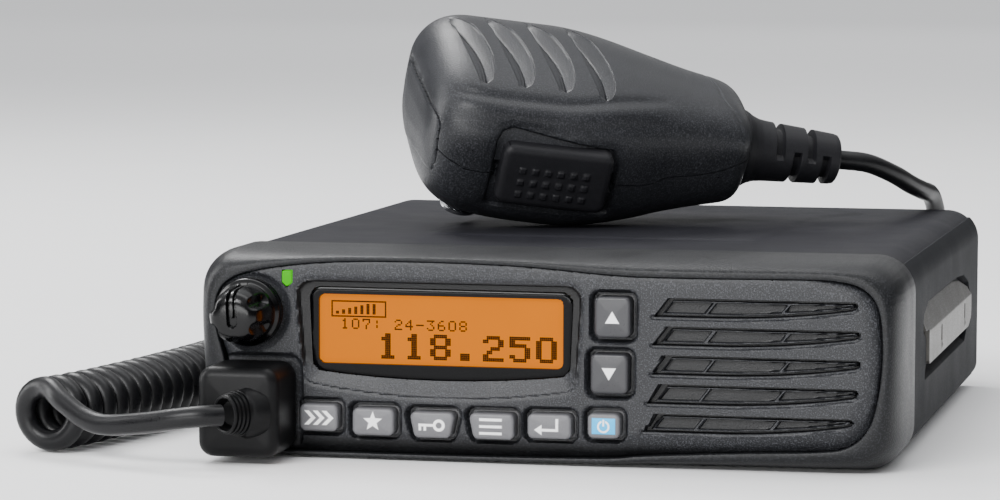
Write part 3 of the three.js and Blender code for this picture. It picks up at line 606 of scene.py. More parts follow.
def pillow(corners: Sequence, radius: float, back: float, front: float, edge: float,
           count: int = 96, rings: int = 12, crown: float = 0.0, steps: int = 6) -> Array:
    """A rounded block: a round-cornered outline whose front edge is a quarter circle.

    Args:
        corners: the outline's corners, run anticlockwise.
        radius: its corner radius, greater than the edge.
        back: height of the back face.
        front: height of the front face's rim; it may be below the back.
        edge: radius of the rounding between side and face.
        count: points around.
        rings: rings on the face.
        crown: how far the face's middle stands proud.
        steps: rows over the rounded edge.

    Returns:
        Rows by columns by three, as stacked gives them.
    """
    toward = 1.0 if front > back else -1.0
    sweep = np.linspace(0, math.pi / 2, steps)
    insets = [0.0, *(edge * (1 - np.cos(sweep)))]
    heights = [back, *(front - toward * edge * (1 - np.sin(sweep)))]
    lines = [rounded(inset(np.asarray(corners, float), amount), radius - amount, count) for amount in insets]
    return stacked(lines, heights, rings, toward * crown)


def front_facing(points: Array) -> Array:
    """Turns across, up and height into X, Z and Y, for pieces that face the front."""
    return points[..., [0, 2, 1]]


def lathe(profile: Sequence[tuple[float, float]], count: int = 48) -> Array:
    """Spins pairs of radius and height about the height axis.

    Returns:
        Rows by columns by three: two across and the height.
    """
    line = np.asarray(profile, float)
    angle = np.linspace(0, 2 * math.pi, count, endpoint=False)
    return np.stack([
        line[:, :1] * np.cos(angle), line[:, :1] * np.sin(angle),
        np.broadcast_to(line[:, 1:], (len(line), count)),
    ], axis=2)


@dataclass
class Wall:
    """A moulded wall: a fine grid whose face is a height over two directions, with a flat back.

    Grid points near an outline are drawn onto it, so that edges and holes come
    out smooth, and walls of quads join the face to the back around every hole.
    """

    across: Array
    up: Array
    inside: Distance
    height: Distance
    back: Union[float, Distance]
    axes: tuple[int, int, int] = FRONT
    warp: Optional[Callable[[Array, Array], tuple[Array, Array]]] = None

    def snapped(self) -> tuple[Array, Array]:
        """The grid's points, with those within half a cell of the outline moved onto it."""
        a, b = np.meshgrid(self.across, self.up)
        if self.warp:
            a, b = self.warp(a, b)
        step = 0.02
        size_a = np.broadcast_to(np.gradient(self.across)[None, :], a.shape)
        size_b = np.broadcast_to(np.gradient(self.up)[:, None], a.shape)
        cell = 0.5 * np.minimum(size_a, size_b)
        for _ in range(2):
            gap = self.inside(a, b)
            slope_a = (self.inside(a + step, b) - self.inside(a - step, b)) / (2 * step)
            slope_b = (self.inside(a, b + step) - self.inside(a, b - step)) / (2 * step)
            near = np.abs(gap) < cell
            a = a - np.where(near, gap * slope_a, 0)
            b = b - np.where(near, gap * slope_b, 0)
        return a, b

    def fill(self, shell: Shell, **marks: Distance) -> None:
        """Adds the wall's face, its back and the walls around its edges to a shell."""
        a, b = self.snapped()
        gap = self.inside(a, b)
        corners = (gap[:-1, :-1] + gap[:-1, 1:] + gap[1:, 1:] + gap[1:, :-1]) / 4
        keep = corners < -0.02
        depth = self.back(a, b) if callable(self.back) else np.full(a.shape, self.back)
        face = np.empty((*a.shape, 3))
        rear = np.empty((*a.shape, 3))
        for target, values in ((face, (a, b, self.height(a, b))), (rear, (a, b, depth))):
            for axis, value in zip(self.axes, values):
                target[..., axis] = value
        values = {name: mark(a, b) for name, mark in marks.items()}
        top = shell.grid(face, keep=keep, **values)
        bottom = shell.grid(rear, keep=keep)
        border = np.pad(keep, 1)
        change = border[1:, 1:-1] != border[:-1, 1:-1]
        rows, columns = np.nonzero(change)
        shell.quads(np.stack([top[rows, columns], top[rows, columns + 1],
                              bottom[rows, columns + 1], bottom[rows, columns]], axis=1))
        change = border[1:-1, 1:] != border[1:-1, :-1]
        rows, columns = np.nonzero(change)
        shell.quads(np.stack([top[rows, columns], top[rows + 1, columns],
                              bottom[rows + 1, columns], bottom[rows, columns]], axis=1))

    def make(self, name: str, finish: Finish, body: str, slot: str, *nodes: str,
             place: Optional[Matrix] = None, **marks: Distance) -> Thing:
        """Makes the wall a piece of its own, and fits it; marks are values over the face."""
        shell = Shell()
        self.fill(shell, **marks)
        return fit(shell.piece(name, finish, place), body, slot, *nodes)


def solid(points: Array, name: str, finish: Finish, body: str, slot: str, *nodes: str,
          place: Optional[Matrix] = None) -> Thing:
    """Makes one piece of a surface that closes around its columns, and fits it."""
    shell = Shell()
    shell.grid(points, wrap_columns=True)
    return fit(shell.piece(name, finish, place), body, slot, *nodes)


def fit(thing: Thing, body: str, slot: str, *nodes: str) -> Thing:
    """Rides a piece on its body, hides the CAD nodes that it stands for, and reports it."""
    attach(thing, body)
    if nodes:
        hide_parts(*nodes)
    LOG.info("%s: %d faces on %s", thing.name, len(thing.data.polygons), body)
    return thing


# ---- studio

@dataclass
class Studio:
    """The camera, a pale floor and soft lamps, each a name, a place, an aim, a size and watts."""

    place: tuple[float, float, float] = (0.184925, -0.941901, 0.124476)
    right: tuple[float, float, float] = (0.975097, 0.221767, 0.002313)
    down: tuple[float, float, float] = (0.021355, -0.083506, -0.996278)
    ahead: tuple[float, float, float] = (-0.220748, 0.971518, -0.086163)
    lens: float = 140.51
    floor_size: float = 30.0
    sky: tuple = ((0.30, 0.10), (0.80, 1.35))
    lamps: tuple = (
        ("overhead", (0.0, 0.15, 1.2), (0, 0, 0), (1.3, 0.55), 6),
        ("key", (-0.60, 0.72, 1.05), (-0.03, 0, 0.05), (0.40, 0.40), 9),
        ("front", (-0.40, -1.25, 0.95), (0, -0.08, 0.02), (0.9, 0.4), 24),
        ("low_front", (-0.2, -1.7, 0.22), (0, -0.05, 0.06), (1.6, 0.3), 15),
        ("left_rim", (-1.15, -0.05, 0.40), (0, 0, 0.03), (0.3, 0.9), 9),
        ("back_rim", (0.15, 3.2, 1.0), (0, 0.05, 0.03), (2.4, 0.5), 4),
    )

    def camera(self) -> None:
        """Stands the camera in front of the set, a little to its right and above it."""
        data = bpy.data.cameras.new("camera")
        data.sensor_width = 36.0
        data.lens = self.lens
        data.clip_end = 60.0
        camera = bpy.data.objects.new("camera", data)
        turn = np.column_stack([self.right, -np.array(self.down), -np.array(self.ahead)])
        camera.matrix_world = Matrix.Translation(self.place) @ Matrix(turn.tolist()).to_4x4()
        bpy.context.scene.collection.objects.link(camera)
        bpy.context.scene.camera = camera

    def floor(self) -> None:
        """Lays a pale floor with a faint, even mottle."""
        shell = Shell()
        reach = self.floor_size / 2 / MM
        across, along = np.meshgrid([-reach, reach], [-reach, reach])
        shell.grid(np.stack([across, along, np.full(across.shape, -0.05)], axis=2))
        # A stand-in finish, until the floor's own paper replaces it.
        floor = shell.piece("floor", Finish.MAT, closed=False, outward=(0, 0, 1))
        recipe = Recipe("floor_paper")
        cloud = recipe.noise(60.0, 2.0)
        colour = recipe.blend(cloud, (0.86, 0.86, 0.865, 1), (0.88, 0.88, 0.88, 1))
        recipe.set(base_color=colour, roughness=0.85)
        floor.data.materials[0] = recipe.material

    def lamp(self, name: str, place: Sequence[float], aim: Sequence[float], size: tuple[float, float],
             power: float) -> None:
        """Hangs one soft rectangular lamp, aimed at a point."""
        data = bpy.data.lights.new(name, "AREA")
        data.shape = "RECTANGLE"
        data.size, data.size_y = size
        data.energy = power
        lamp = bpy.data.objects.new(name, data)
        start, end = np.array(place, float), np.array(aim, float)
        away = (start - end) / np.linalg.norm(start - end)
        side = np.cross((0.0, 0.001, 1.0), away)
        side = side / np.linalg.norm(side)
        turn = np.column_stack([side, np.cross(away, side), away])
        lamp.matrix_world = Matrix.Translation(start.tolist()) @ Matrix(turn.tolist()).to_4x4()
        bpy.context.scene.collection.objects.link(lamp)

    def light(self) -> None:
        """Lights the set with a sky that pales upwards and with every lamp."""
        world = bpy.data.worlds.new("studio")
        world.use_nodes = True
        tree = world.node_tree
        ramp = tree.nodes.new("ShaderNodeValToRGB")
        for element, (place, grey) in zip(ramp.color_ramp.elements, self.sky):
            element.position = place
            element.color = (grey * 0.97, grey * 0.98, grey, 1.0)
        split = tree.nodes.new("ShaderNodeSeparateXYZ")
        tree.links.new(tree.nodes.new("ShaderNodeTexCoord").outputs["Generated"], split.inputs[0])
        tree.links.new(split.outputs["Z"], ramp.inputs[0])
        tree.links.new(ramp.outputs["Color"], tree.nodes["Background"].inputs["Color"])
        bpy.context.scene.world = world
        for lamp in self.lamps:
            self.lamp(*lamp)


# ---- cord

@dataclass
class Cord:
    """The microphone's cord: a lead, the coil and a short lead to the plug, as one tube."""

    diameter: float = 4.9
    coil: float = 17.6
    pitch: float = 5.6
    sides: int = 16
    hand_lead: tuple = (
        (-12, 124, 6.6), (2, 122.8, 3.6), (18, 120.5, 2.75), (35, 117.2, 3), (50, 113, 6.6),
        (60.5, 108.6, 14), (66, 104.5, 25), (68, 100.6, 36), (68.4, 95.6, 44.6), (67.8, 88.4, 50.2),
        (66.6, 80, 52), (64.6, 70, 54.2), (61.2, 59.6, 57.6), (55.6, 51, 60.8), (48.45, 46.15, 61.9),
    )
    coil_line: tuple = (
        (-115, -95, 9), (-111, -82, 9), (-107.5, -64, 9), (-104, -40, 9), (-101.5, -15, 9),
        (-100, 12, 9), (-99, 40, 9), (-98.5, 62, 9), (-97.5, 80, 9), (-91, 100, 9), (-77, 115, 9),
        (-58, 122, 9), (-40, 124, 9), (-26, 124, 9),
    )
    plug_lead: tuple = (
        (-108, -101.6, 12.9), (-102.2, -104.6, 9.9), (-96.2, -107.2, 8.8), (-86.3, -110.4, 9.9),
        (-78, -112, 11.3), (-72.2, -111.4, 12), (-68.5, -108.8, 12),
    )

    def helix(self) -> Array:
        """The coil's own line, from its rear end to its front end.

        Each point stands the helix radius away from the coil's middle line, on a
        direction that turns once around it for every pitch of its length.
        """
        line = resample(spline(self.coil_line, 40), 1500, closed=False)[::-1]
        along = travelled(line)
        forward = np.gradient(line, axis=0)
        forward /= np.linalg.norm(forward, axis=1, keepdims=True)
        upward = np.array([0.0, 0.0, 1.0])
        sideways = np.cross(upward, forward)
        sideways /= np.linalg.norm(sideways, axis=1, keepdims=True)
        turn = math.radians(100) + 2 * math.pi * (along[-1] - along) / self.pitch
        reach = (self.coil - self.diameter) / 2
        return line + reach * (np.cos(turn)[:, None] * sideways + np.sin(turn)[:, None] * upward)

    def bridge(self, start: Array, leaving: Array, end: Array, arriving: Array, strength: float) -> Array:
        """A cubic curve between two points that keeps the directions at both."""
        part = np.linspace(0, 1, 24)[1:-1, None]
        first = start + leaving * strength
        second = end - arriving * strength
        return ((1 - part) ** 3 * start + 3 * (1 - part) ** 2 * part * first
                + 3 * (1 - part) * part ** 2 * second + part ** 3 * end)

    def route(self) -> Array:
        """The whole middle line, from the microphone to the plug's boot."""
        hand = spline(np.array(self.hand_lead[::-1]), 16)
        coil = self.helix()
        plug = spline(self.plug_lead, 16)
        directions = [(line[1] - line[0], line[-1] - line[-2]) for line in (hand, coil, plug)]
        (_, hand_end), (coil_start, coil_end), (plug_start, _) = [
            (first / np.linalg.norm(first), last / np.linalg.norm(last)) for first, last in directions
        ]
        rear = self.bridge(hand[-1], hand_end, coil[0], coil_start, 9)
        front = self.bridge(coil[-1], coil_end, plug[0], plug_start, 4)
        line = np.vstack([hand, rear, coil, front, plug])
        length = np.linalg.norm(np.diff(line, axis=0), axis=1).sum()
        return resample(line, int(length / 1.35), closed=False)

    def tube(self, line: Array) -> Array:
        """Rings of points around a line, each turned as little as possible from the last."""
        ahead = np.gradient(line, axis=0)
        ahead /= np.linalg.norm(ahead, axis=1, keepdims=True)
        across = np.empty_like(line)
        across[0] = np.cross(ahead[0], (0.0, 0.0, 1.0))
        for k in range(1, len(line)):
            across[k] = across[k - 1] - ahead[k] * np.dot(across[k - 1], ahead[k])
            across[k] /= np.linalg.norm(across[k])
        across[0] /= np.linalg.norm(across[0])
        upward = np.cross(ahead, across)
        angle = np.linspace(0, 2 * math.pi, self.sides, endpoint=False)
        radius = self.diameter / 2
        rings = line[:, None, :] + radius * (np.cos(angle)[None, :, None] * across[:, None, :]
                                             + np.sin(angle)[None, :, None] * upward[:, None, :])
        ends = [np.broadcast_to(point, (1, self.sides, 3)) for point in (line[0], line[-1])]
        return np.vstack([ends[0], rings, ends[1]])

    def build(self, boot: Thing) -> None:
        line = self.route()
        shell = Shell()
        shell.grid(self.tube(line), wrap_columns=True)
        cord = shell.piece("mic_cord", Finish.CORD)
        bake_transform(cord)
        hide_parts("hand_lead", "cord_coil", "plug_lead")


@dataclass
class Boot:
    """The rubber boot on the plug, with a ribbed collar that is turned towards the coil."""

    left: float = -76.0
    right: float = -57.0
    bottom: float = 1.6
    top: float = 22.2
    front: float = -104.0
    back: float = -87.9
    foot: tuple[float, float, float] = (-64.9, -102.9, 12.0)
    turn: float = 0.6435
    reach: float = 5.6
    corner: float = 3.4
    edge: float = 2.9

    def collar(self) -> Array:
        """A turned collar with three ribs, a round lip and a dark bore for the cord."""
        ribs = [(5.25 - 0.22 * k + ridge, 1.2 + 0.95 * k + rise)
                for k in range(4) for ridge, rise in ((0.0, 0.0), (0.0, 0.55), (-0.45, 0.62), (-0.45, 0.88))]
        profile = [(0, -3), (6.2, -3), (5.9, 0.2), (5.4, 0.9), *ribs, (4.45, self.reach - 0.5),
                   (4.3, self.reach - 0.15), (4.0, self.reach), (3.7, self.reach - 0.2),
                   (3.45, self.reach - 1),
                   (3.2, self.reach - 3.6), (0, self.reach - 3.8)]
        points = lathe(profile, 40)
        ahead = np.array([-math.sin(self.turn), -math.cos(self.turn), 0.0])
        aside = np.array([-ahead[1], ahead[0], 0.0])
        return (np.array(self.foot) + points[..., :1] * aside
                + points[..., 1:2] * np.array([0.0, 0.0, 1.0]) + points[..., 2:] * ahead)

    def build(self) -> Thing:
        """Makes the boot as one piece with its collar."""
        corners = box_corners(self.left, self.right, self.bottom, self.top)
        shell = Shell()
        block = pillow(corners, self.corner, self.back, self.front + 0.5, self.edge,
                       count=128, rings=14, crown=0.5, steps=9)
        shell.grid(front_facing(block), wrap_columns=True)
        shell.grid(self.collar(), wrap_columns=True)
        boot = shell.piece("plug_boot_rubber", Finish.BOOT)
        return fit(boot, "radio", "grip_rubber", "plug_boot")


# ---- front

@dataclass(frozen=True)
class Key:
    """One key: its middle, its size, how far its lower corners come in, and its mark."""

    node: str
    across: float
    up: float
    width: float
    height: float
    taper_left: float = 0.0
    taper_right: float = 0.0
    finish: Finish = Finish.KEY_LIGHT
    mark: str = "bars"

    def corners(self, margin: float = 0.0) -> Array:
        """The key's four corners, grown by a margin."""
        left, right = self.across - self.width / 2, self.across + self.width / 2
        low, high = self.up - self.height / 2, self.up + self.height / 2
        shape = np.array([[left + self.taper_left, low], [right - self.taper_right, low],
                          [right, high], [left, high]])
        return inset(shape, -margin)


KEYS = (
    Key("scan_key", -51.3, 9.5, 9.0, 6.2, mark="chevrons"),
    Key("priority_key", -38.5, 8.9, 9.8, 6.2, mark="star"),
    Key("squelch_key", -24.7, 8.6, 10.9, 5.9, 1.3, 1.3, mark="lock"),
    Key("menu_key", -11.0, 8.7, 10.7, 5.9, 1.3, mark="list"),
    Key("group_key", 2.5, 9.1, 10.1, 5.6, mark="return"),
    Key("power_key", 15.0, 9.6, 7.4, 5.6, finish=Finish.KEY_BLUE, mark="power"),
    Key("up_key", 16.9, 34.2, 8.2, 9.2, finish=Finish.KEY_DARK, mark="up"),
    Key("down_key", 16.2, 21.4, 8.6, 9.0, finish=Finish.KEY_DARK, mark="down"),
)


def bar(a: Array, b: Array, across: float, up: float, width: float, height: float) -> Array:
    """Signed distance to an upright bar about a middle point."""
    return np.maximum(np.abs(a - across) - width / 2, np.abs(b - up) - height / 2)


def ring(a: Array, b: Array, across: float, up: float, radius: float, stroke: float) -> Array:
    """Signed distance to a ring's stroke."""
    return np.abs(np.hypot(a - across, b - up) - radius) - stroke / 2


def wedge(a: Array, b: Array, corners: Sequence) -> Array:
    """Signed distance to a triangle or another small outline."""
    return polygon_distance(a, b, np.asarray(corners, float), 1.0)


def mark_distance(mark: str, a: Array, b: Array) -> Array:
    """Signed distance to a key's generic mark, about the key's middle."""
    if mark == "chevrons":
        lines = [np.maximum(np.abs(a - shift + np.abs(b)) - 0.42, np.abs(b) - 1.25)
                 for shift in (-0.9, 0.7, 2.3)]
        return np.minimum.reduce(lines)
    if mark == "star":
        corners = [(reach * math.sin(k * math.pi / 5), -reach * math.cos(k * math.pi / 5))
                   for k in range(10) for reach in ((0.75 if k % 2 == 0 else 1.75),)]
        return wedge(a, b - 0.1, corners)
    if mark == "lock":
        bow = ring(a, b, 1.3, 0.0, 0.8, 0.5)
        shank = bar(a, b, -0.9, 0.0, 2.9, 0.45)
        teeth = [bar(a, b, place, -0.5, 0.42, 0.9) for place in (-2.1, -1.2)]
        return np.minimum.reduce([bow, shank, *teeth])
    if mark == "list":
        return np.minimum.reduce([bar(a, b, 0.0, up, 4.0, 0.45) for up in (-1.2, 0.0, 1.2)])
    if mark == "return":
        head = wedge(a, b, [(-2.6, -0.6), (-1.3, -1.5), (-1.3, 0.3)])
        return np.minimum.reduce([head, bar(a, b, 0.1, -0.6, 2.9, 0.45), bar(a, b, 1.4, 0.3, 0.45, 2.2)])
    if mark == "power":
        gap = (np.abs(a) < 0.42) & (b > 0)
        loop = np.where(gap, 1.0, ring(a, b, 0.0, -0.1, 1.2, 0.42))
        return np.minimum(loop, bar(a, b, 0.0, 0.75, 0.4, 1.5))
    tip = 1.35 if mark == "up" else -1.35
    corners = [(-1.6, -tip), (1.6, -tip), (0.0, tip)]
    return wedge(a, b, corners if tip > 0 else corners[::-1])


def curved_low(left: float, right: float, ends: tuple[float, float], middle: float, parts: int = 8) -> list:
    """Points along a sagging lower edge: a parabola through both ends and the middle's depth."""
    part = np.linspace(0, 1, parts + 1)
    straight = ends[0] + (ends[1] - ends[0]) * part
    sag = (middle - (ends[0] + ends[1]) / 2) * 4 * part * (1 - part)
    return list(zip((left + (right - left) * part).tolist(), (straight + sag).tolist()))


@dataclass
class Bezel:
    """The front moulding: a rolled rim, and a panel with the display's recess, pockets and grille."""

    half_width: float = 81.5
    height: float = 47.2
    corner: float = 8.5
    seam: float = -59.9
    front: float = -87.4
    panel_back: float = -84.5
    edge_roll: float = 5.2
    edge_drop: float = 2.4
    cell: float = 0.34
    recess_corner: float = 3.6
    recess_depth: float = 1.45
    glass_corner: float = 2.6
    key_pocket: float = 2.35
    knob_seat: float = 1.1
    plug_pocket: float = 1.9
    split: float = 22.4
    lean: float = 0.77
    opening: tuple = (
        (-64, 1.9), (-57.3, 1.7), (-20, 1.7), (14, 2.2), (23.1, 3.0), (45, 4.3), (62.6, 5.1), (69.8, 6.3),
        (74.2, 10.4), (76.3, 17), (77.3, 27.3), (76.4, 37), (73, 41.5), (67.2, 43.1), (59.2, 43.3),
        (40, 43.1), (22.9, 43.1), (13.8, 43.5), (2.5, 44.4), (-8.2, 45), (-22, 45.3), (-36.7, 45.3),
        (-47, 45.0), (-57.5, 44.1), (-67.5, 42.4), (-73.2, 40.2), (-75.8, 36.5), (-76.2, 31.5),
        (-75.2, 26.5), (-73.8, 22.5), (-73.2, 16), (-72.6, 8.5), (-70, 3.4),
    )
    recess: tuple = (*curved_low(-55.3, 8.3, (17.7, 17.2), 14.6), (9.9, 41.0), (-57.4, 41.0))
    glass: tuple = (*curved_low(-53.2, 6.6, (20.3, 20.3), 18.5), (7.4, 39.2), (-54.1, 39.3))
    louvre_rows: tuple = (
        ((25.9, 34.3), (29.2, 38.7), 71.9), ((25.8, 27.9), (28.8, 32.3), 72.5),
        ((25.6, 21.3), (28.3, 25.8), 72.6), ((24.6, 14.7), (27.6, 19.3), 72.1),
        ((23.7, 8.3), (26.8, 12.6), 71.1),
    )
    knob: tuple[float, float] = (-67.7, 33.4)
    lamp: tuple[float, float] = (-59.1, 41.2)

    def opening_line(self, grow: float = 0.0) -> Array:
        """The opening that the panel fills, as a dense closed line, grown outwards by an amount."""
        line = resample(spline(self.opening, 14, closed=True), 720)
        side = np.roll(line, -1, axis=0) - np.roll(line, 1, axis=0)
        normal = np.stack([side[:, 1], -side[:, 0]], axis=1)
        return line + grow * normal / np.linalg.norm(normal, axis=1, keepdims=True)

    def rim(self) -> Thing:
        """The rim: for each point of the outer outline, a profile that rolls to the opening and back."""
        corners = box_corners(-self.half_width, self.half_width, 0, self.height)
        outer = rounded(corners, self.corner, 900)
        inner_line = self.opening_line(0.16)
        gaps = np.linalg.norm(outer[:, None, :] - inner_line[None], axis=2)
        nearest = np.argmin(gaps, axis=1)
        inner = inner_line[nearest]
        for _ in range(30):
            inner = (np.roll(inner, 1, axis=0) + 2 * inner + np.roll(inner, -1, axis=0)) / 4
        width = np.linalg.norm(inner - outer, axis=1, keepdims=True)
        inward = (inner - outer) / width
        roll_start = -72.0
        lip = self.front + 0.15
        sweep = np.linspace(0, math.pi / 2, 22)
        rounding = 2 / 2.35
        rows = [(outer + inward * 0.25, self.seam), (outer, self.seam - 0.35), (outer, -66.0),
                (outer, roll_start)]
        for angle in sweep[1:]:
            share = 1 - math.cos(angle) ** rounding
            depth = math.sin(angle) ** rounding
            rows.append((outer + inward * (width - 0.75) * share, roll_start + (lip - roll_start) * depth))
        lips = ((0.30, 0.02), (0.12, 0.10), (0.03, 0.25), (0.0, 0.5), (0.0, 2.6))
        rows += [(inner - inward * back, lip + drop) for back, drop in lips]
        rows += [(inner - inward * (width * 0.45), lip + 2.9), (outer + inward * 2.0, roll_start + 2),
                 (outer + inward * 2.0, -66.0), (outer + inward * 2.0, self.seam)]
        points = np.stack([
            np.column_stack([line[:, 0], np.full(len(line), depth), line[:, 1]]) for line, depth in rows
        ])
        shell = Shell()
        shell.grid(points, wrap_rows=True, wrap_columns=True)
        return fit(shell.piece("bezel_rim", Finish.BEZEL), "radio", "bezel_plastic", "front_bezel")

    def lift(self, a: Array, row: int) -> Array:
        """How far a louvre's lower edge has curved up at a place across."""
        tip = self.louvre_rows[row][2]
        return 2.35 * np.clip((a - 40) / (tip - 41.3), 0, 1) ** 2

    def louvre(self, a: Array, b: Array, row: int) -> Array:
        """Depth of one louvre: a groove around a leaning blade in a thin frame, with two bars.

        The slot's outline has a leaning left end, a flat top and a lower edge that
        curves up to its narrow right end.
        """
        low_left, top_left, tip = self.louvre_rows[row]
        low, top = low_left[1] + 0.1, top_left[1]
        across = np.linspace(low_left[0], tip - 1.3, 24)
        lower = np.column_stack([across, low + self.lift(across, row)])
        end = [(tip - 0.45, lower[-1, 1] + 0.35), (tip, top - 1.0), (tip - 0.25, top - 0.3), (tip - 0.9, top)]
        within = -polygon_distance(a, b, np.vstack([lower, end, [top_left]]), 2.0)
        lean = a - (b - low_left[1]) * self.lean
        inner = np.minimum(within, (lean - low_left[0]) * 0.8 - 0.55)
        level = np.clip((b - low) / (top - low), 0, 1)
        bars = np.zeros(a.shape)
        for place in (37.1, 53.9):
            offset = place - 25.9 + low_left[0]
            bars = np.maximum(bars, smooth(0.52, 0.34, np.abs(lean - offset)))
        blade = smooth(0.86, 1.0, inner)
        framed = smooth(0.50, 0.64, inner)
        inside = 2.1 - 1.5 * framed + blade * (1 - bars) * (0.85 + 0.35 * level)
        edge = smooth(-0.02, 0.14, within)
        below = smooth(0.6, 0.1, b - low - self.lift(a, row))
        lip = 0.5 * smooth(-0.80, -0.36, within) * below
        return np.where(within > 0, edge * inside + (1 - edge) * 0.5 * below, lip)

    def grille_warp(self, a: Array, b: Array) -> tuple[Array, Array]:
        """Leans the grid's columns with the bars, and bends its rows along the lower edges."""
        rows = sorted(self.louvre_rows, key=lambda row: row[0][1])
        places, shears = [0.0], [0.0]
        for low_left, top_left, _ in rows:
            places += [low_left[1] - 0.4, top_left[1] + 0.3]
            shears += [-0.4 * self.lean, (top_left[1] + 0.3 - low_left[1]) * self.lean]
        shear = np.interp(b, [*places, places[-1] + 3], [*shears, 0.0])
        across = a + shear * smooth(22.4, 25.4, a) * smooth(71, 60, a)
        up = b.copy()
        for row, (low_left, top_left, _) in enumerate(self.louvre_rows):
            low, top = low_left[1] + 0.1, top_left[1]
            up += np.interp(b, [low - 2.0, low, top], [0, 1, 0]) * self.lift(across, row)
        return across, up

    def grille_rows(self) -> Array:
        """Grid lines up the grille's panel, close together at the louvres' edges."""
        stops = [(1.0, 0.35)]
        for low_left, top_left, _ in sorted(self.louvre_rows, key=lambda row: row[0][1]):
            low, top = low_left[1] + 0.1, top_left[1]
            stops += [(low - 0.75, 0.14), (low + 1.05, 0.3), (top - 1.05, 0.14), (top + 0.2, 0.35)]
        return spacing([*stops, (46.2, 0.35)])

    def relief(self, a: Array, b: Array, edge: Array) -> Array:
        """How far the panel's face lies behind its front plane, from all its features."""
        inward = np.clip(-edge / self.edge_roll, 0, 1)
        drop = 0.55 + (self.edge_drop - 0.55) * np.maximum(smooth(41, 30, b), smooth(60, 73, a))
        bulge = 1 - np.sqrt(1 - (1 - inward) ** 2.2)
        depth = drop * (bulge + ((1 - inward) ** 1.5 - bulge) * smooth(20, 9, b))
        outer = -outline(self.recess, self.recess_corner)(a, b)
        inner = outline(self.glass, self.glass_corner, reach=12)(a, b)
        share = np.clip(outer / np.maximum(outer + np.maximum(inner, 0), 1e-6), 0, 1)
        gentle = 0.16 * smooth(0.0, 0.12, share) + 0.84 * share ** 1.15
        steep = 0.9 * smooth(0.0, 0.3, share) + 0.1 * share
        slope = gentle + (steep - gentle) * smooth(19.5, 23.5, b)
        depth = depth * (outer < 0) + np.where(outer > 0, self.recess_depth * slope, 0)
        depth = depth + 0.35 * np.exp(-(outer / 0.55) ** 2) * (outer < 0)
        for key in KEYS:
            gap = outline(key.corners(1.15), 2.0, reach=2)(a, b)
            pocket = self.key_pocket * smooth(0.0, -0.3, gap) + 0.5 * smooth(0.55, 0.0, gap)
            depth = np.maximum(depth, pocket)
        for row in range(len(self.louvre_rows)):
            depth = np.maximum(depth, self.louvre(a, b, row))
        reach = np.hypot(a - self.knob[0], b - self.knob[1])
        depth = np.maximum(depth, self.knob_seat * (1 - smooth(8.0, 9.6, reach)))
        pocket = outline(box_corners(-79, -55.3, -4, 23.9), 3.5)(a, b)
        return np.maximum(depth, self.plug_pocket * smooth(0.2, -1.0, pocket))

    def holes(self) -> list[Distance]:
        """The openings through the panel: glass, keys, status light, knob shaft and plug."""
        lens = outline(inset(np.array(self.glass), -0.12), 2.7)
        shaft = 3.5
        plug = outline(box_corners(-71.3, -60.7, 7.1, 16.1))
        return [
            lens, *(outline(key.corners(0.3), 1.3, reach=2) for key in KEYS),
            outline(lamp_corners(self.lamp, 0.2)),
            lambda a, b: np.hypot(a - self.knob[0], b - self.knob[1]) - shaft, plug,
        ]

    def panel(self, name: str, across: Array, up: Array, limit: Distance,
              warp: Optional[Callable] = None) -> Thing:
        """One half of the panel, between its outline and a limit, with its openings."""
        edge = curve_outline(resample(self.opening_line(), 150))
        holes = self.holes()

        def inside(a: Array, b: Array) -> Array:
            """Signed distance to the panel's material."""
            gap = np.maximum(edge(a, b), limit(a, b))
            for hole in holes:
                gap = np.maximum(gap, -hole(a, b))
            return gap

        def height(a: Array, b: Array) -> Array:
            """Where the face lies in the depth of the set."""
            return np.minimum(self.front + self.relief(a, b, edge(a, b)), self.panel_back - 0.35)

        painted_shade_recess = outline(self.recess, self.recess_corner)

        def painted_shade(a: Array, b: Array) -> Array:
            """Painted shade over the face: dark on the display's surround, the louvres and the foot of the
            panel.
            """
            dark = smooth(0.0, -0.25, painted_shade_recess(a, b)) * smooth(20.0, 23.5, b)
            for row in range(len(self.louvre_rows)):
                dark = np.maximum(dark, 0.8 * smooth(0.9, 1.3, self.louvre(a, b, row)))
            return np.maximum(dark, 0.85 * smooth(6.4, 3.4, b) * (a > -60))

        # The attribute passed here paints shade into the panel's colour.
        wall = Wall(across, up, inside, height, self.panel_back, warp=warp)
        return wall.make(name, Finish.PANEL, "radio", "bezel_plastic", "front_bezel", patch=painted_shade)

    def build(self) -> None:
        """Makes the rim and both halves of the panel."""
        self.rim()
        left = np.linspace(-77.5, self.split, round((self.split + 77.5) / self.cell) + 1)
        right = np.linspace(self.split, 78.4, round((78.4 - self.split) / self.cell) + 1)
        rows = np.arange(1.0, 46.2, self.cell)
        self.panel("display_panel", left, rows, lambda a, b: a - self.split - 0.001)
        self.panel("grille_panel", right, self.grille_rows(), lambda a, b: self.split - 0.001 - a,
                   self.grille_warp)


def lamp_corners(middle: tuple[float, float], margin: float = 0.0) -> Array:
    """The status light's outline: a small window with a pointed lower end."""
    across, up = middle
    shape = np.array([[0.0, -1.9], [1.1, -0.9], [1.1, 1.7], [-1.1, 1.7], [-1.1, -0.9]])
    return inset(shape + (across, up), -margin)


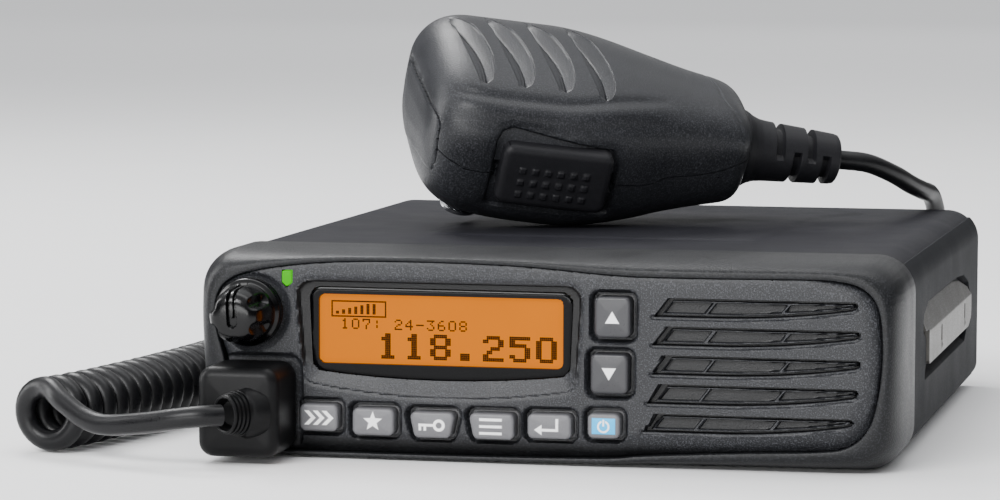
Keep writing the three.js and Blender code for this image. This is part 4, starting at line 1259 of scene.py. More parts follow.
@dataclass
class Display:
    """The glass with its dark border, the amber cell behind it and the dots that show digits."""

    glass: tuple = Bezel.glass
    glass_front: float = -86.0
    glass_back: float = -84.6
    window: tuple = (-52.0, 5.1, 21.8, 37.7)
    cell_front: float = -85.2
    cell_back: float = -80.0
    small: tuple[float, float] = (0.36, 0.345)
    large: tuple[float, float] = (0.44, 0.418)
    readout: tuple = ("118.250", -38.3, 28.9)
    notes: tuple = (("107:", -46.9, 32.1), ("24-3608", -34.3, 32.1))
    meter: tuple[float, float] = (-49.2, 36.2)
    meter_dots: tuple[int, int] = (36, 11)

    DIGITS = {
        "0": "01110 10001 10001 10001 10001 10001 01110", "1": "00100 01100 00100 00100 00100 00100 01110",
        "2": "01110 10001 00001 00110 01000 10000 11111", "3": "11111 00010 00100 00010 00001 10001 01110",
        "4": "00010 00110 01010 10010 11111 00010 00010", "5": "11111 10000 11110 00001 00001 10001 01110",
        "6": "00110 01000 10000 11110 10001 10001 01110", "7": "11111 10001 00001 00010 00100 00100 00100",
        "8": "01110 10001 10001 01110 10001 10001 01110", ".": "00000 00000 00000 00000 00000 01100 01100",
        ":": "00000 00100 00100 00000 00100 00100 00000", "-": "00000 00000 00000 11111 00000 00000 00000",
    }

    def dots(self, text: str, left: float, top: float, dot: tuple[float, float], scale: int,
             advance: int) -> Array:
        """Middles of the dark dots of a line of digits.

        Args:
            text: digits and the marks between them.
            left: where the first character starts.
            top: upper edge of the line.
            dot: distance between dots, across and up.
            scale: how many dots stand for one dot of the digit's pattern, each way.
            advance: dots from one character to the next.

        Returns:
            Points across and up.
        """
        places = []
        for number, character in enumerate(text):
            pattern = np.array([[int(flag) for flag in row] for row in self.DIGITS[character].split()])
            pattern = np.pad(np.kron(pattern, np.ones((scale, scale), int)), ((0, 0), (0, scale - 1)))
            pattern = np.maximum(pattern, np.roll(pattern, scale - 1, axis=1))
            rows, columns = np.nonzero(pattern)
            across = left + (number * advance + columns + 0.5) * dot[0]
            places.append(np.column_stack([across, top - (rows + 0.5) * dot[1]]))
        return np.vstack(places)

    def build(self) -> None:
        """Makes the glass frame, the lit cell and its dots."""
        window = outline(box_corners(*self.window), 1.5)
        rim = outline(self.glass, Bezel.glass_corner)
        across, up = np.arange(-54.6, 8.6, 0.4), np.arange(18.0, 40.2, 0.4)

        def border(a: Array, b: Array) -> Array:
            """Signed distance to the dark border's material."""
            return np.maximum(rim(a, b), -window(a, b))

        def face(a: Array, b: Array) -> Array:
            """The border's face, rounded off at its outer edge."""
            outer = np.clip(1 + rim(a, b) / 0.5, 0, 1)
            return self.glass_front + 0.3 * outer ** 2

        Wall(across, up, border, face, self.glass_back).make(
            "display_glass_border", Finish.GLASS, "radio", "display_glass", "display_lens")
        cell = outline(inset(box_corners(*self.window), 0.05), 1.45)
        across, up = np.arange(-52.0, 6.0, 0.5), np.arange(21.5, 38.3, 0.5)
        # The edge attribute paints shade on the cell near the window's edge.
        Wall(across, up, cell, lambda a, b: np.full(a.shape, self.cell_front), self.cell_back).make(
            "amber_cell", Finish.AMBER, "radio", "display_cell", "lcd_module",
            edge=lambda a, b: smooth(-1.6, 0.0, window(a, b)))
        self.segments()

    def segments(self) -> None:
        """Makes every dark dot as a small flat tile just in front of the lit cell."""
        large = self.dots(*self.readout, self.large, 2, 14)
        wide, high = self.meter_dots
        box = [(column, row) for column in range(wide) for row in range(high)
               if row in (0, high - 1) or column in (0, wide - 1)]
        bars = [(3 + 4 * k + column, 8 - row) for k in range(7) for column in range(2) for row in range(2 + k)
                if row < 7]
        left, top = self.meter
        boxed = [(left + (column + 0.5) * self.small[0], top - (row + 0.5) * self.small[1])
                 for column, row in box + bars]
        small = [self.dots(*note, self.small, 1, 7) for note in self.notes]
        tiles = [(large, self.large), (np.vstack([np.array(boxed), *small]), self.small)]
        shell = Shell()
        for middles, dot in tiles:
            corners = np.array([[-1, -1], [1, -1], [1, 1], [-1, 1]]) * np.array(dot) * 0.47
            flat = middles[:, None, :] + corners[None]
            depth = np.full(flat.shape[:2], self.cell_front - 0.03)
            index = shell.grid(np.stack([flat[..., 0], depth, flat[..., 1]], axis=2),
                               keep=np.zeros((len(middles) - 1, 3), bool))
            shell.quads(index)
        piece = shell.piece("display_dots", Finish.INKED, closed=False, merge=1e-6)
        fit(piece, "radio", "display_cell")


@dataclass
class Keypad:
    """The keys: pillowed rubber caps with printed generic marks, each on its own body."""

    front: float = -89.0
    back: float = -82.6
    flange_front: float = -84.15
    flange_margin: float = 0.8
    corner: float = 1.35
    edge: float = 0.75
    crown: float = 0.22
    mark_size: tuple[float, float] = (1.0, 1.3)

    def build(self) -> None:
        """Makes every key with its flange behind the panel."""
        for key in KEYS:
            shell = Shell()
            cap = pillow(key.corners(), self.corner, self.flange_front - 0.3, self.front + 0.12, self.edge,
                         count=200, rings=30, crown=self.crown, steps=7)
            points = front_facing(cap)
            a, b = points[..., 0], points[..., 2]
            size = self.mark_size[key.finish is Finish.KEY_LIGHT]
            ink = smooth(0.07, -0.07, mark_distance(key.mark, (a - key.across) / size, (b - key.up) / size))
            on_face = points[..., 1] < self.front + 0.5
            patch = np.zeros(a.shape)
            if key.finish is Finish.KEY_BLUE:
                patch = smooth(0.06, -0.06, bar(a, b, key.across, key.up, 5.3, 3.6)) * on_face
            shell.grid(points, wrap_columns=True, ink=ink * on_face, patch=patch)
            flange = pillow(key.corners(self.flange_margin), 1.5, self.back, self.flange_front, 0.2,
                            count=64, rings=2, steps=3)
            shell.grid(front_facing(flange), wrap_columns=True)
            fit(shell.piece(key.node + "_cap", key.finish), key.node, "key_rubber", key.node)


@dataclass
class Knob:
    """The volume knob: a domed grip with scooped sides on a skirt, and a pointer in a slot."""

    across: float = -67.7
    up: float = 33.4
    back: float = -88.2
    pointer: float = math.radians(94)
    scoop: float = 2.1
    profile: tuple = (
        (0, 0), (7.3, 0), (7.7, 0.25), (7.8, 0.7), (7.8, 2.0), (7.6, 2.6), (7.1, 3.0), (6.75, 3.5),
        (6.6, 4.4), (6.45, 6.5), (6.3, 9.0), (6.1, 11.0), (5.7, 12.6), (5.0, 13.7), (3.9, 14.35),
        (2.4, 14.65), (0, 14.8),
    )

    def build(self) -> None:
        """Spins the profile, then presses the scoops and the pointer's slot into it."""
        line = resample(spline(self.profile, 10), 110, closed=False)
        line[0, 0] = line[-1, 0] = 0
        points = lathe(line.tolist(), 216)
        along = np.gradient(points, axis=0)
        around = np.roll(points, -1, axis=1) - np.roll(points, 1, axis=1)
        normal = np.cross(around, along)
        normal /= np.maximum(np.linalg.norm(normal, axis=2, keepdims=True), 1e-9)
        press = np.zeros(points.shape[:2])
        for k in range(1, 6):
            angle = self.pointer + k * math.pi / 3
            spoke = np.array([math.cos(angle), math.sin(angle), 0.0])
            start = spoke * 6.5 + (0, 0, 14.4)
            end = spoke * 7.3 + (0, 0, 6.4)
            reach = end - start
            share = np.clip(((points - start) @ reach) / (reach @ reach), 0, 1)
            gap = np.linalg.norm(points - start - share[..., None] * reach, axis=2)
            press = np.maximum(press, np.clip(self.scoop - gap, 0, None))
        ahead = np.array([math.cos(self.pointer), math.sin(self.pointer)])
        radial = points[..., 0] * ahead[0] + points[..., 1] * ahead[1]
        aside = np.abs(points[..., 1] * ahead[0] - points[..., 0] * ahead[1])
        inner_end = np.hypot(aside, np.clip(-1.2 - radial, 0, None))
        reach = smooth(3.2, 3.8, points[..., 2]) * (radial > -2.6)
        slot = (1 - smooth(0.95, 1.15, inner_end)) * reach
        fin = (1 - smooth(0.36, 0.5, aside)) * smooth(-0.3, 0.3, radial) * smooth(3.8, 4.6, points[..., 2])
        press = press * (1 - smooth(1.7, 1.1, aside) * (radial > 0)) + 1.2 * slot - 1.0 * slot * fin
        points = points - normal * press[..., None]
        placed = np.stack([points[..., 0] + self.across, self.back - points[..., 2],
                           points[..., 1] + self.up], axis=2)
        solid(placed, "volume_knob_grip", Finish.KNOB, "volume_control", "knob_plastic", "volume_knob")


def status_light() -> None:
    """Makes the green status light, a small window that stands a hair proud of the panel."""
    lamp = pillow(lamp_corners(Bezel.lamp), 0.35, -83, -87.85, 0.3, count=48, rings=6, crown=0.12)
    solid(front_facing(lamp), "status_lamp", Finish.GREEN, "radio", "status_light", "status_led")


# ---- case

@dataclass
class Case:
    """The die-cast case: two side walls, a rear wall with fins, and its top and bottom covers."""

    half_width: float = 80.5
    bottom: float = 2.0
    top: float = 47.0
    front: float = -59.6
    back: float = 87.5
    top_radius: float = 8.0
    bottom_radius: float = 4.5
    floor_seam: float = 3.4
    roof_seam: float = 44.6
    roof_gap: float = 0.28
    wall: float = 2.6
    recess: tuple = (
        (-31.5, 15.3), (54.5, 15.3), (60.0, 18.0), (65.8, 19.0), (67.0, 22.0), (67.0, 26.5), (63.5, 29.6),
        (52.0, 32.3), (40.0, 33.0), (-26.0, 33.0), (-34.6, 30.4), (-35.0, 27.0), (-29.6, 25.3),
        (-29.4, 18.6), (-31.5, 17.4),
    )
    recess_depth: float = 2.1

    def side_reach(self, up: Array) -> Array:
        """How far out the case's side stands at a height, with its rounded shoulder and foot."""
        shoulder = np.clip(up - (self.top - self.top_radius), 0, self.top_radius)
        foot = np.clip(self.bottom + self.bottom_radius - up, 0, self.bottom_radius)
        return (self.half_width - self.top_radius + np.sqrt(self.top_radius ** 2 - shoulder ** 2)
                - self.bottom_radius + np.sqrt(self.bottom_radius ** 2 - foot ** 2))

    def sides(self) -> None:
        """Makes both side walls, each with a sunk seat for its catch plate."""
        along = spacing(((self.front, 0.6), (-37, 0.3), (-27, 1.0), (34, 0.35), (69, 1.0), (self.back, 1.0)))
        up = spacing(((self.floor_seam, 0.4), (14.5, 0.25), (20, 0.5), (24, 0.3), (34, 0.5),
                      (self.roof_seam, 0.5)))
        wall = outline(box_corners(self.front, self.back, self.floor_seam, self.roof_seam), 0.0, reach=3)
        seat = curve_outline(resample(np.array(self.recess, float), 150), reach=3)
        for side, name in ((-1, "case_side_left"), (1, "case_side_right")):

            def face(a: Array, b: Array, side: int = side) -> Array:
                """The wall's outer face."""
                ramp = np.clip((b - 15.3) / 1.3, 0, 1)
                sunk = self.recess_depth * np.minimum(smooth(0.25, -0.35, seat(a, b)), ramp)
                edge = np.clip(1 - (a - self.front) / 0.6, 0, 1) ** 2 * 0.35
                return side * (self.side_reach(b) - sunk - edge)

            def rear(a: Array, b: Array, side: int = side) -> Array:
                """The wall's inner face."""
                return np.full(a.shape, side * (self.half_width - self.wall - 4.0))

            Wall(along, up, wall, face, rear, axes=SIDE).make(
                name, Finish.CASTING, "radio", "case_casting", "chassis")

    def roof_height(self, across: Array) -> Array:
        """Height of the top cover over the width, flat and then rounded at its shoulders."""
        beyond = np.clip(np.abs(across) - (self.half_width - self.top_radius), 0, self.top_radius)
        return self.top - self.top_radius + np.sqrt(self.top_radius ** 2 - beyond ** 2)

    def roof(self) -> None:
        """Makes the top cover, with the shallow raised field in its middle."""
        low = self.roof_seam + self.roof_gap
        drop = self.top_radius - (self.top - low)
        reach = self.half_width - self.top_radius + math.sqrt(self.top_radius ** 2 - drop ** 2)
        right = spacing(((0, 1.2), (70, 0.4), (reach, 0.4)))
        across = np.concatenate([-right[:0:-1], right])
        along = spacing(((self.front, 0.5), (-50, 1.2), (-28, 0.6), (-16, 1.5), (70, 1.2),
                         (self.back - 0.3, 0.5)))
        cover = outline(box_corners(-reach, reach, self.front, self.back - 0.3), 0.0, reach=3)
        field_line = curve_outline(resample(spline(np.array([
            (-41, -18), (-36, -24), (0, -25.5), (34, -24), (39.5, -18), (41, 20), (43.5, 48), (52, 68),
            (30, 76), (-30, 76), (-42, 66), (-41, 20)]), 12, closed=True), 160))

        def face(a: Array, b: Array) -> Array:
            """The cover's outer face."""
            raised = 0.42 * smooth(0.75, -0.75, field_line(a, b))
            front_edge = np.clip(1 - (b - self.front) / 1.6, 0, 1) ** 2 * 0.5
            step = 0.22 * smooth(-55.5, -53.0, b) - 0.22
            back_edge = np.clip(1 - (self.back - 0.3 - b) / 1.5, 0, 1) ** 2 * 0.6
            return self.roof_height(a) - front_edge - back_edge + step + raised - 0.42

        Wall(across, along, cover, face, lambda a, b: face(a, b) - 1.6, axes=LEVEL).make(
            "top_cover_skin", Finish.CASE, "radio", "case_paint", "top_cover")

    def base(self) -> None:
        """Makes the bottom cover, with the flat that the set stands on and sunk screw seats."""
        reach = self.half_width - self.bottom_radius + 3.2
        across = np.linspace(-reach, reach, 200)
        along = np.linspace(self.front, self.back - 0.3, 170)
        flat = outline(box_corners(-64, 64, -50, 80), 10)
        screws = [(side * 71.5, y) for side in (-1, 1) for y in (-52, 80)]

        def material(a: Array, b: Array) -> Array:
            """Signed distance to the cover, with a hole for each screw."""
            gap = np.maximum(np.abs(a) - reach, np.maximum(self.front - b, b - self.back + 0.3))
            for x, y in screws:
                gap = np.maximum(gap, 1.9 - np.hypot(a - x, b - y))
            return gap

        def face(a: Array, b: Array) -> Array:
            """The cover's lower face."""
            beyond = np.clip(np.abs(a) - (self.half_width - self.bottom_radius), 0, 4.2)
            low = self.bottom + self.bottom_radius - np.sqrt(self.bottom_radius ** 2 - beyond ** 2)
            height = low - self.bottom * smooth(0.9, -0.9, flat(a, b))
            for x, y in screws:
                height = height + 0.35 * smooth(4.6, 3.9, np.hypot(a - x, b - y))
            return np.minimum(height, self.floor_seam - 0.3)

        Wall(across, along, material, face, self.floor_seam + 0.9, axes=LEVEL).make(
            "bottom_cover_pan", Finish.CASE, "radio", "case_paint", "bottom_cover")

    def rear(self) -> None:
        """Makes the rear wall with its socket openings, and the cooling fins."""
        across = np.arange(-78.2, 78.5, 0.6)
        up = np.arange(3.4, 44.9, 0.6)
        wall = outline(box_corners(-77.6, 77.6, 3.6, 44.4), 4.0)
        holes = [
            lambda a, b: np.hypot(a - 18, b - 30) - 6.5, lambda a, b: np.hypot(a - 63, b - 30) - 3.5,
            outline(box_corners(33.7, 50.3, 25.7, 34.3), 0.8),
            outline(box_corners(16.7, 51.3, 8.2, 15.8), 0.8),
        ]

        def material(a: Array, b: Array) -> Array:
            """Signed distance to the wall's material."""
            return np.maximum.reduce([wall(a, b), *(-hole(a, b) for hole in holes)])

        def face(a: Array, b: Array) -> Array:
            """The wall's rear face, with a soft rim and a shallow panel around the sockets."""
            edge = np.clip(1 + wall(a, b) / 2.5, 0, 1)
            panel = outline(box_corners(8, 74, 5.5, 41), 2.5)(a, b)
            return self.back - 0.8 * edge ** 2 - 0.5 * smooth(0.4, -0.4, panel)

        Wall(across, up, material, face, 84.5).make(
            "case_rear_wall", Finish.CASTING, "radio", "case_casting", "chassis")
        shell = Shell()
        for k in range(11):
            left = -73 + 7 * k
            fin = pillow(box_corners(left - 0.15, left + 2.35, 6, 42), 1.2, 86.6, 101.9, 0.9,
                         count=72, rings=4)
            shell.grid(front_facing(fin), wrap_columns=True)
        fit(shell.piece("cooling_fins", Finish.CASTING), "radio", "case_casting", "chassis")

    def build(self) -> None:
        """Makes all parts of the case."""
        self.sides()
        self.roof()
        self.base()
        self.rear()


@dataclass
class CatchPlate:
    """A steel catch plate in the side of the case, with a leaning strip, two slits and dimples."""

    face: float = 81.15
    thickness: float = 1.3
    slits: tuple = ((-2.3, 21.5, 25.6), (49.7, 21.5, 25.6))

    def build(self) -> None:
        """Makes the plate on each side."""
        along = spacing(((-35.5, 0.4), (-26, 1.0), (-6, 0.3), (2, 1.0), (34, 0.4), (67.4, 0.4)))
        up = spacing(((17.6, 0.3), (20.0, 0.25), (32.8, 0.25)))
        plate = outline([(-28.2, 18.7), (59.0, 18.7), (65.0, 20.5), (66.0, 23.0), (66.0, 27.0),
                         (-28.2, 27.0)], 0.7)
        strip = outline([(-33.5, 26.9), (66.0, 25.4), (62.5, 28.6), (50.5, 31.2), (38.0, 32.1), (-26.0, 32.1),
                         (-33.6, 29.8)], 0.6)
        slits = [outline(box_corners(place - 1.1, place + 1.1, low, high), 0.9)
                 for place, low, high in self.slits]

        def material(a: Array, b: Array) -> Array:
            """Signed distance to the plate's material."""
            gap = np.minimum(plate(a, b), strip(a, b))
            return np.maximum.reduce([gap, *(-slit(a, b) for slit in slits)])

        for side, name, node in ((-1, "catch_plate_left", "side_plate_left"),
                                 (1, "catch_plate_right", "side_plate_right")):

            def height(a: Array, b: Array, side: int = side) -> Array:
                """The plate's outer face: its strip leans inwards, and a dimple ends each slit."""
                lean = 0.36 * np.clip(b - 26.4, 0, None)
                dimples = sum(0.35 * np.exp(-((a - place) ** 2 + (b - low + 1.0) ** 2) / 0.7)
                              for place, low, _ in self.slits)
                return side * (self.face - lean + dimples)

            def rear(a: Array, b: Array, side: int = side) -> Array:
                """The plate's inner face."""
                return height(a, b, side) - side * self.thickness

            Wall(along, up, material, height, rear, axes=SIDE).make(
                name, Finish.CATCH, "radio", "catch_steel", node)


@dataclass
class Sockets:
    """The sockets in the rear wall: coaxial, power, accessory and loudspeaker."""

    wall: float = 87.8
    antenna: tuple[float, float] = (18, 30)
    speaker: tuple[float, float] = (63, 30)
    power: tuple[float, float] = (42, 30)
    accessory: tuple[float, float] = (34, 12)

    def turned(self, profile: Sequence[tuple[float, float]], across: float, up: float) -> Array:
        """A turned piece that faces the rear, with its height along the set's depth."""
        points = lathe(profile, 56)
        return np.stack([across + points[..., 0], points[..., 2], up + points[..., 1]], axis=2)

    def coaxial(self) -> None:
        """Makes the antenna socket: a flange, a threaded barrel, an insulator and a contact."""
        threads = [(7.85 - 0.45 * (k % 2), 90.4 + 0.45 * k) for k in range(22)]
        profile = [(0, 80.6), (6.0, 80.6), (6.0, 87.8), (7.9, 87.8), (7.9, 89.6), (7.4, 90.0), *threads,
                   (7.5, 101.4), (7.1, 101.9), (6.2, 101.9), (5.6, 101.2), (4.9, 101.0), (4.7, 90), (0, 90)]
        solid(self.turned(profile, *self.antenna), "antenna_barrel", Finish.PLATED, "radio", "plated_socket",
              "antenna_socket")
        core = [(0, 90.05), (4.4, 90.05), (4.4, 98.6), (4.0, 99.0), (2.2, 99.0), (1.9, 98.6), (1.9, 94),
                (0, 94)]
        solid(self.turned(core, *self.antenna), "antenna_insulator", Finish.PLUG, "radio", "plated_socket")

    def jack(self) -> None:
        """Makes the loudspeaker jack with its round nut."""
        profile = [(0, 80.6), (3.1, 80.6), (3.1, 87.8), (4.4, 87.8), (4.4, 90.2), (4.0, 90.8), (3.0, 90.9),
                   (2.4, 90.3), (2.0, 90.2), (1.85, 89.4), (1.85, 82.4), (0, 82.4)]
        solid(self.turned(profile, *self.speaker), "speaker_jack_nut", Finish.SOCKET, "radio",
              "socket_plastic", "speaker_jack")

    def housing(self, name: str, finish: Finish, slot: str, node: str, middle: tuple[float, float],
                size: tuple[float, float], back: float, depth: float, pins: Sequence) -> None:
        """Makes a rectangular socket: a flanged shell around a cavity with contacts in it.

        Args:
            name: the piece's name.
            finish: the shell's finish.
            slot: its material slot, which is passed on but not used.
            node: the CAD node that it stands for.
            middle: across and up.
            size: its width and height.
            back: how far it reaches to the rear.
            depth: how deep the cavity is.
            pins: places and half sizes of the contacts, about the middle.
        """
        x, z = middle
        width, height = size
        across = np.arange(x - width / 2 - 0.3, x + width / 2 + 0.4, 0.3)
        up = np.arange(z - height / 2 - 0.3, z + height / 2 + 0.4, 0.3)
        body = outline(box_corners(x - width / 2, x + width / 2, z - height / 2, z + height / 2), 1.2)
        cavity = outline(box_corners(x - width / 2 + 2.2, x + width / 2 - 2.2,
                                     z - height / 2 + 2.2, z + height / 2 - 2.2), 0.7)

        def face(a: Array, b: Array) -> Array:
            """The socket's rear face."""
            edge = np.clip(1 + body(a, b) / 0.8, 0, 1) ** 2 * 0.5
            reach = back - edge - depth * smooth(0.15, -0.25, cavity(a, b))
            for place, rise, half_wide, half_high in pins:
                pin = np.maximum(np.abs(a - x - place) - half_wide, np.abs(b - z - rise) - half_high)
                reach = reach + (depth - 1.2) * smooth(0.12, -0.12, pin)
            return reach

        Wall(across, up, body, face, self.wall).make(name, finish, "radio", slot, node)

    def build(self) -> None:
        """Makes the four sockets."""
        self.coaxial()
        self.jack()
        blades = [(place, 0, 0.7, 2.2) for place in (-4.4, 4.4)]
        self.housing("power_socket", Finish.SOCKET, "socket_plastic", "power_inlet", self.power,
                     (20, 12), 98, 8, blades)
        pins = [(-13 + 2.2 * k + 1.1 * row, -1.3 + 2.6 * row, 0.4, 0.4) for row in (0, 1) for k in range(12)]
        self.housing("accessory_connector", Finish.PLATED, "plated_socket", "accessory_socket",
                     self.accessory, (38, 11), 93.5, 4.5, pins)


# ---- hand microphone

@dataclass
class Handset:
    """The hand microphone, in its own axes.

    u runs to its cord, v away from the talk button, and w out of its grille.
    """

    length: float = 84.25
    width: float = 59.1
    front: float = 21.0
    back: float = 19.7
    neck: float = 32.4
    seam: float = 0.14
    wall: float = 1.5
    squareness: float = 2.4
    head_round: float = 14.0
    under_round: float = 28.0
    tail_round: float = 6.0
    straight_rows: tuple[float, float] = (1.5, 56.0)
    hanger: float = 16.5
    place: tuple[float, float, float] = (-51.2, 0.25, 75.45)
    tilt: float = 23.7
    pitch: float = 7.04
    yaw: float = 24.72
    cap: tuple = (
        (-23.4, -4.3), (-16, -4.7), (-4, -7.5), (7, -9.5), (16, -6.5), (18.3, 0), (17.4, 5.0), (9.8, 6.1),
        (-2.5, 7.9), (-13.4, 9.1), (-20.0, 9.2), (-22.5, 8.1), (-23.6, 6.4), (-24.2, 3.0), (-24.7, -1.0),
        (-24.5, -3.2),
    )
    seam_line: tuple = ((0, 3.0), (2.2, 2.2), (4.7, 1.1), (8.4, 0), (12, -0.5), (47, -1.3), (54.5, -1.8),
                        (58.8, -1.1), (61.6, -0.1), (69.5, 0.1), (75.8, 1.1), (80.3, 3.0), (84.3, 3.6))
    slot_left: tuple = ((-20, 3.7), (-19, 3.5), (-10, 1.95), (1, 0.9), (13, 0.0), (18, -0.4))
    slot_middle: tuple = ((-20, 5.1), (-18, 5.1), (-9.5, 4.4), (0, 2.7), (7.5, 0.9), (13, 0.15), (18, -0.3))
    slot_right: tuple = ((-19.6, 5.4), (-19.2, 6.0), (-17.5, 7.3), (-13, 8.2), (-3.5, 8.1), (7.5, 6.2),
                         (13, 3.6), (18, 0.6))
    slot_places: tuple = ((7.4, 0.92), (16.8, 1.0), (27.0, 1.0), (37.4, 1.0))
    talk: tuple = (17.5, 45.3, 8.0)
    talk_face: float = -31.4
    slot_depth: float = 1.4
    grip: tuple = ((4, -20.5), (7.1, -21.7), (11.4, -22.7), (17.3, -23.1), (24.4, -23.0), (35.1, -22.3),
                   (47.9, -17.6), (60, -13.5))

    def frame(self) -> Matrix:
        """The turn and place of the microphone on the set, in millimetres."""
        placed = Matrix.Translation(self.place)
        for angle, axis in ((self.yaw, "Z"), (self.pitch, "Y"), (self.tilt, "X")):
            placed = placed @ Matrix.Rotation(math.radians(angle), 4, axis)
        return placed

    def opening(self, reach: Array) -> Array:
        """How far a rounded end has opened, from 0 at its tip to 1 past its radius."""
        return (1 - np.clip(1 - reach, 0, 1) ** self.squareness) ** (1 / self.squareness)

    def sizes(self, u: Array) -> tuple[Array, Array, Array]:
        """Half-width, front height and back height at a distance from the top end."""
        taper = smooth(0.4 * self.length, self.length, u)
        top, under = self.opening(u / self.head_round), self.opening(u / self.under_round)
        tail = self.opening((self.length - u) / self.tail_round)
        wide = self.width / 2 * (1 - taper) + self.neck / 2 * taper
        low = 0.6 + 0.4 * tail
        side = wide * (0.55 + 0.45 * top) * (0.5 + 0.5 * tail)
        cone = 0.4 + 0.6 * self.opening((self.length - u) / 11)
        return (side, self.front * (1 - 0.3 * taper) * (0.35 + 0.65 * top) * cone,
                self.back * (1 - 0.38 * taper) * (0.35 + 0.65 * under) * low)

    def stations(self, rows: int, slotted: bool) -> tuple[Array, Array]:
        """Distances along the body for each row, and how open the end faces are there.

        Both rounded ends take equal steps of their own angle, the stretch between
        takes equal lengths, and the first and last rows close the end faces. On a
        slotted shell the rows crowd together at the edges of the slots.
        """
        angle, bend = np.linspace(0, math.pi / 2, 46), 2 / self.squareness
        head = self.head_round * (1 - np.cos(angle) ** bend)
        tail = self.length - self.tail_round * (1 - np.cos(angle[::-2]) ** bend)
        middle = np.linspace(self.head_round, self.length - self.tail_round, rows)[1:-1]
        face = np.linspace(0, 1, 34)[:-1]
        along = np.concatenate([head, middle])
        if slotted:
            for left, mid, right in self.slot_lines(np.zeros(1)).reshape(-1, 3):
                stops = (left, left + 0.24, mid - 0.4, mid + 0.4, right - 0.3, right)
                runs = [np.linspace(start, end, count)[1:]
                        for start, end, count in zip(stops, stops[1:], (3, 6, 9, 13, 4))]
                along = along[(along < left - 0.05) | (along > right + 0.05)]
                along = np.concatenate([along, [left], *runs])
            along = np.sort(along)
        u = np.concatenate([np.zeros(len(face)), along, tail, np.full(9, self.length)])
        open_part = np.concatenate([face, np.ones(len(along) + len(tail)), np.linspace(1, 0, 10)[1:]])
        return u, open_part

    def slot_lines(self, v: Array) -> Array:
        """Where the left edge, the slit and the right edge of every slot lie along the body, for each v."""
        curves = [spline(knots, 10) for knots in (self.slot_left, self.slot_middle, self.slot_right)]
        offsets = np.stack([np.interp(v, curve[:, 0], curve[:, 1]) for curve in curves], axis=-1)
        return np.stack([start + width * offsets for start, width in self.slot_places], axis=-2)

    def follow_slots(self, u: Array, v: Array) -> Array:
        """Moves the rows along the body so that they run along the lines of the slots."""
        start, end = self.straight_rows
        fixed = np.concatenate([[0, start], self.slot_lines(np.zeros(1)).reshape(-1), [end, self.length]])
        lines = self.slot_lines(v).reshape(v.shape + (-1,))
        ends = [np.full((*v.shape, 1), value) for value in (0.0, start, end, self.length)]
        lines = np.concatenate([*ends[:2], lines, *ends[2:]], axis=-1)
        place = np.clip(np.searchsorted(fixed, u, side="right") - 1, 0, len(fixed) - 2)
        part = (u - fixed[place]) / (fixed[place + 1] - fixed[place])
        low, high = (np.take_along_axis(lines, (place + step)[..., None], axis=-1)[..., 0] for step in (0, 1))
        return low + (high - low) * part

    def angles(self, count: int) -> Array:
        """Angles over half the section that cut its widest outline into equal lengths."""
        fine = np.linspace(0, math.pi, 4000)
        line = np.column_stack([self.width / 2 * power(np.cos(fine), 2 / 3),
                                self.front * np.sin(fine) ** (2 / 3)])
        along = travelled(line)
        return np.interp(np.linspace(0, along[-1], count), along, fine)

    def surface(self, half: int, rows: int, columns: int) -> Array:
        """The plain surface of one shell; half is 1 for the grille side and -1 for the back."""
        u, open_part = self.stations(rows, slotted=half > 0)
        angle = self.angles(columns)
        across = power(np.cos(angle), 2 / 3)[None, :]
        lift = np.sin(angle)[None, :] ** (2 / 3)
        base = np.broadcast_to(u[:, None], (len(u), columns))
        along = base
        if half > 0:
            for _ in range(3):
                along = self.follow_slots(base, self.sizes(along)[0] * across)
            fade = smooth(2.0, 7.0, np.broadcast_to(lift * self.front, base.shape))
            along = base + (along - base) * fade
        side, front, back = self.sizes(along)
        height = front if half > 0 else back
        v = side * across * open_part[:, None]
        w = half * (self.seam + (height - self.seam) * lift * open_part[:, None])
        dome = 0.5 * (1 - open_part ** 2) * np.where(u < 1, -0.6, 0.0)
        return np.stack([along + dome[:, None], v, w], axis=2)

    def slots(self, u: Array, v: Array) -> Array:
        """Depth of the four scooped grille slots.

        Across a slot the face dips a little from its left edge to a narrow slit, and
        climbs again over a bowed ramp to a small step at the right edge.
        """
        depth = np.zeros(u.shape)
        ends = smooth(-19.7, -18.4, v) * smooth(17.5, 15.0, v)
        lines = self.slot_lines(v)
        for k in range(len(self.slot_places)):
            left, middle, right = (lines[..., k, part] for part in range(3))
            falling = np.clip((u - left) / np.maximum(middle - left, 0.1), 0, 1)
            climbing = np.clip((right - u) / np.maximum(right - middle, 0.1), 0, 1)
            fall = 0.30 * smooth(0, 0.12, falling) + 0.5 * falling
            climb = 0.24 * smooth(0, 0.08, climbing) + 0.76 * climbing ** 1.4
            low = np.where(u < middle, fall, self.slot_depth * climb)
            slit = 1.5 * np.exp(-((u - middle) / 0.25) ** 2) * smooth(-19.2, -18, v) * smooth(14, 12, v)
            inside = smooth(-0.05, 0.05, u - left) * smooth(0.05, -0.05, u - right)
            depth = np.maximum(depth, (low + slit) * ends * inside)
        return depth

    def grip_relief(self, points: Array) -> Array:
        """Depth of the finger grip: a crease along the shoulder over a soft swelling and a hollow."""
        u, v, w = points[..., 0], points[..., 1], points[..., 2]
        line = spline(self.grip, 12)
        crease_v = np.interp(u, line[:, 0], line[:, 1])
        below = -((v - crease_v) + (w - 17.0)) / math.sqrt(2)
        run = smooth(3, 9, u) * smooth(66, 50, u) * (v < -6) * smooth(1.0, 5.0, w)
        crease = 0.45 * np.exp(-(below / 1.3) ** 2)
        swell = 0.4 * np.exp(-((below - 3.4) / 2.0) ** 2)
        second = 0.3 * np.exp(-((below - 7.2) / 1.5) ** 2)
        return run * (crease - swell + second)

